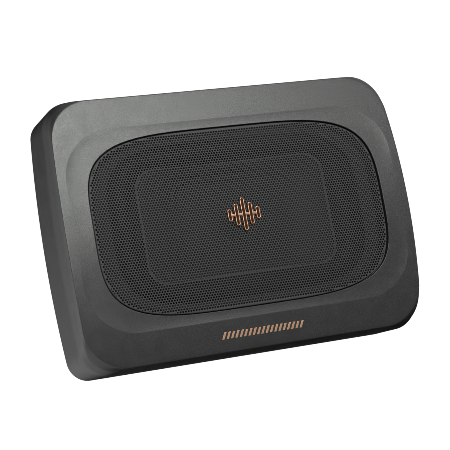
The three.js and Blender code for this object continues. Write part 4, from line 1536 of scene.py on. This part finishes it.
def make_sliders():
    for node, body in (("phase_slider", "phase_control"), ("mode_slider", "mode_control")):
        low, high = span(node)
        x, _, z = centre_of(node)
        parts = [block(low, (high[0], high[1] - 0.5, high[2]), 0.3, 0.12, "Y")]
        for shift in (-1.1, 0, 1.1):
            ridge = (x + shift - 0.28, high[1] - 0.8, low[2] + 0.15)
            parts.append(block(ridge, (x + shift + 0.28, high[1], high[2] - 0.15), 0.2, 0.12, "Y"))
        settle(made_from(node + "_cap", *parts), "white_plastic", node, body=body)


def make_knobs():
    slots = {"gain_knob": "red_plastic", "crossover_knob": "black_plastic"}
    for node, body in KNOBS.items():
        low, high = span(node)
        x, _, z = centre_of(node)
        radius, back, front, skirt = (high[0] - low[0]) / 2, low[1], high[1], BAY_FLOOR_Y + 0.8
        profile = [
            (1, back), (3, back), (3, skirt), (radius, skirt), (radius, front - 2.4),
            (radius - 0.5, front), (3.1, front), (2.6, front - 0.3), (0.5, front - 0.3),
        ]
        grip = round_outline(144, flutes=24, flute_depth=0.3)
        knob = made_from(node + "_grip", drawn(grip, profile, (x, z), "Y", fillet=0.35), sharp=50)
        slot_low, slot_high = (x - 0.6, front - 1, z + 0.4), (x + 0.6, front + 1, z + 6.2)
        carve(knob, block(slot_low, slot_high, 0.1, 0.05, "Y"), sharp=50)
        settle(knob, slots[node], node, body=body)
        line_low, line_high = (x - 0.5, front - 1.4, z + 0.6), (x + 0.5, front - 0.55, z + radius - 0.45)
        line = made_from(node + "_line", block(line_low, line_high, 0.1, 0.05, "Y"))
        settle(line, "white_plastic", body=body)


def make_led():
    low, high = span("status_led")
    x, _, z = centre_of("status_led")
    radius = (high[0] - low[0]) / 2
    dome = [(radius * math.cos(a), high[1] - radius * (1 - math.sin(a))) for a in np.linspace(0, 1.45, 9)]
    profile = [(0.4, low[1]), (radius, low[1]), *dome]
    lens_dome = made_from("status_lens", turned(profile, (x, z), "Y", fillet=0))
    settle(lens_dome, "led_blue", "status_led")


# ---- CAD nodes that stay as they are, with their materials ----


def finish_frame_nodes():
    """Gives every CAD node the material of its slot in the record."""
    slots = {part["node"]: part["material_slot"] for part in frame["record"]["subparts"]}
    for name, node in frame["nodes"].items():
        node.data.materials.clear()
        node.data.materials.append(FINISHES[slots[name]])


# ---- Stage: floor, light and camera ----

CAMERA_AIM = (-16.05, -6.33, CROWN_TOP)
CAMERA_AZIMUTH, CAMERA_ELEVATION, CAMERA_ROLL = -69.733, 67.473, 60.989
CAMERA_DISTANCE = 1004.8
CAMERA_LENS = 113.91


def direction(azimuth, elevation):
    """Unit vector towards a place round the object: azimuth 0 is in front, at -Y."""
    a, e = math.radians(azimuth), math.radians(elevation)
    return Vector((math.sin(a) * math.cos(e), -math.cos(a) * math.cos(e), math.sin(e)))


def add_camera():
    data = bpy.data.cameras.new("camera")
    data.lens = CAMERA_LENS
    data.sensor_width = 36
    data.clip_start, data.clip_end = 0.05, 20
    camera = bpy.data.objects.new("camera", data)
    bpy.context.scene.collection.objects.link(camera)
    turn = (
        Matrix.Rotation(math.radians(CAMERA_AZIMUTH), 4, "Z")
        @ Matrix.Rotation(math.radians(90 - CAMERA_ELEVATION), 4, "X")
        @ Matrix.Rotation(math.radians(CAMERA_ROLL), 4, "Z")
    )
    back = direction(CAMERA_AZIMUTH, CAMERA_ELEVATION)
    place = (Vector(CAMERA_AIM) + back * CAMERA_DISTANCE) * MM
    camera.matrix_world = Matrix.Translation(place) @ turn
    bpy.context.scene.camera = camera


def add_softbox(name, towards, distance, diameter, power):
    data = bpy.data.lights.new(name, "AREA")
    data.shape = "DISK"
    data.size = diameter
    data.energy = power
    light = bpy.data.objects.new(name, data)
    bpy.context.scene.collection.objects.link(light)
    towards = Vector(towards).normalized()
    light.location = towards * distance
    light.rotation_mode = "QUATERNION"
    light.rotation_quaternion = towards.to_track_quat("Z", "Y")


KEY_TOWARDS = -0.05, 0.48, 0.87
KEY_DISTANCE, KEY_DIAMETER, KEY_POWER = 1.4, 1.35, 21.0  # metres and watts

# Soft fills of the surroundings: towards, cosines where each starts and is full, brightness at both.
STUDIO_FILLS = (
    ((-1, 0.3, -0.4), 0.6, 1.0, 0.0, 0.62),
    ((-0.62, -0.5, -0.62), 0.58, 0.95, 0.0, 0.85),
    ((-0.45, -0.8, 0.4), 0.7, 0.97, 0.0, 0.75),
    ((0, 0, 1), 0.0, 0.7, 0.0, 0.18),
    ((0.7, 0.7, 0.15), 0.2, 1.0, 0.0, 0.6),
)


def add_world():
    world = bpy.data.worlds.new("studio")
    world.use_nodes = True
    tree = world.node_tree
    background = tree.nodes["Background"]
    background.inputs["Color"].default_value = (1, 1, 1, 1)
    place = tree.nodes.new("ShaderNodeTexCoord").outputs["Generated"]

    def facing(towards, low, high, dark, bright):
        """Brightness that rises as a direction turns towards another."""
        dot = tree.nodes.new("ShaderNodeVectorMath")
        dot.operation = "DOT_PRODUCT"
        dot.inputs[1].default_value = Vector(towards).normalized()
        tree.links.new(place, dot.inputs[0])
        spread = tree.nodes.new("ShaderNodeMapRange")
        spread.interpolation_type = "SMOOTHSTEP"
        for name, value in (("From Min", low), ("From Max", high), ("To Min", dark), ("To Max", bright)):
            spread.inputs[name].default_value = value
        tree.links.new(dot.outputs["Value"], spread.inputs["Value"])
        return spread.outputs[0]

    total = None
    for fill in STUDIO_FILLS:
        added = tree.nodes.new("ShaderNodeMath")
        added.inputs[1].default_value = 0
        tree.links.new(facing(*fill), added.inputs[0])
        if total:
            tree.links.new(total, added.inputs[1])
        total = added.outputs[0]
    tree.links.new(total, background.inputs["Strength"])
    bpy.context.scene.world = world


FLOOR_REACH = 30000


def add_floor():
    """A pale floor that glows evenly, takes no shadow and is not seen in reflections."""
    floor = mesh_object(
        "floor",
        [(x * FLOOR_REACH, y * FLOOR_REACH, 0) for x, y in ((-1, -1), (1, -1), (1, 1), (-1, 1))],
        [[0, 1, 2, 3]],
    )
    paper = Surface("lit_paper", (0.06, 0.06, 0.06), 0, 0.9)
    paper.vary_color(paper.noise(400), 0.01)
    paper.shader.inputs["Emission Color"].default_value = (1, 1, 1, 1)
    paper.shader.inputs["Emission Strength"].default_value = 1.0
    floor.data.materials.append(paper.material)
    floor.visible_glossy = False
    floor.visible_diffuse = False
    floor.visible_shadow = False


def add_stage():
    add_floor()
    add_world()
    add_softbox("key", KEY_TOWARDS, KEY_DISTANCE, KEY_DIAMETER, KEY_POWER)
    bpy.context.scene.view_settings.view_transform = "Standard"
    bpy.context.scene.cycles.filter_width = 0.8


def make_subwoofer():
    finish_frame_nodes()
    make_cover()
    make_screw_bosses()
    make_grille()
    make_grille_seal()
    make_badge()
    make_inlay()
    make_base_plate()
    make_screws()
    make_feet()
    make_surround()
    make_spider()
    make_cone()
    make_glue_bead()
    make_cone_panel()
    make_motor()
    make_board()
    make_toroid()
    make_capacitors()
    make_bay()
    make_bay_marks()
    make_bay_screws()
    make_sockets()
    make_rca_jacks()
    make_sliders()
    make_knobs()
    make_led()


add_camera()
add_stage()
make_subwoofer()
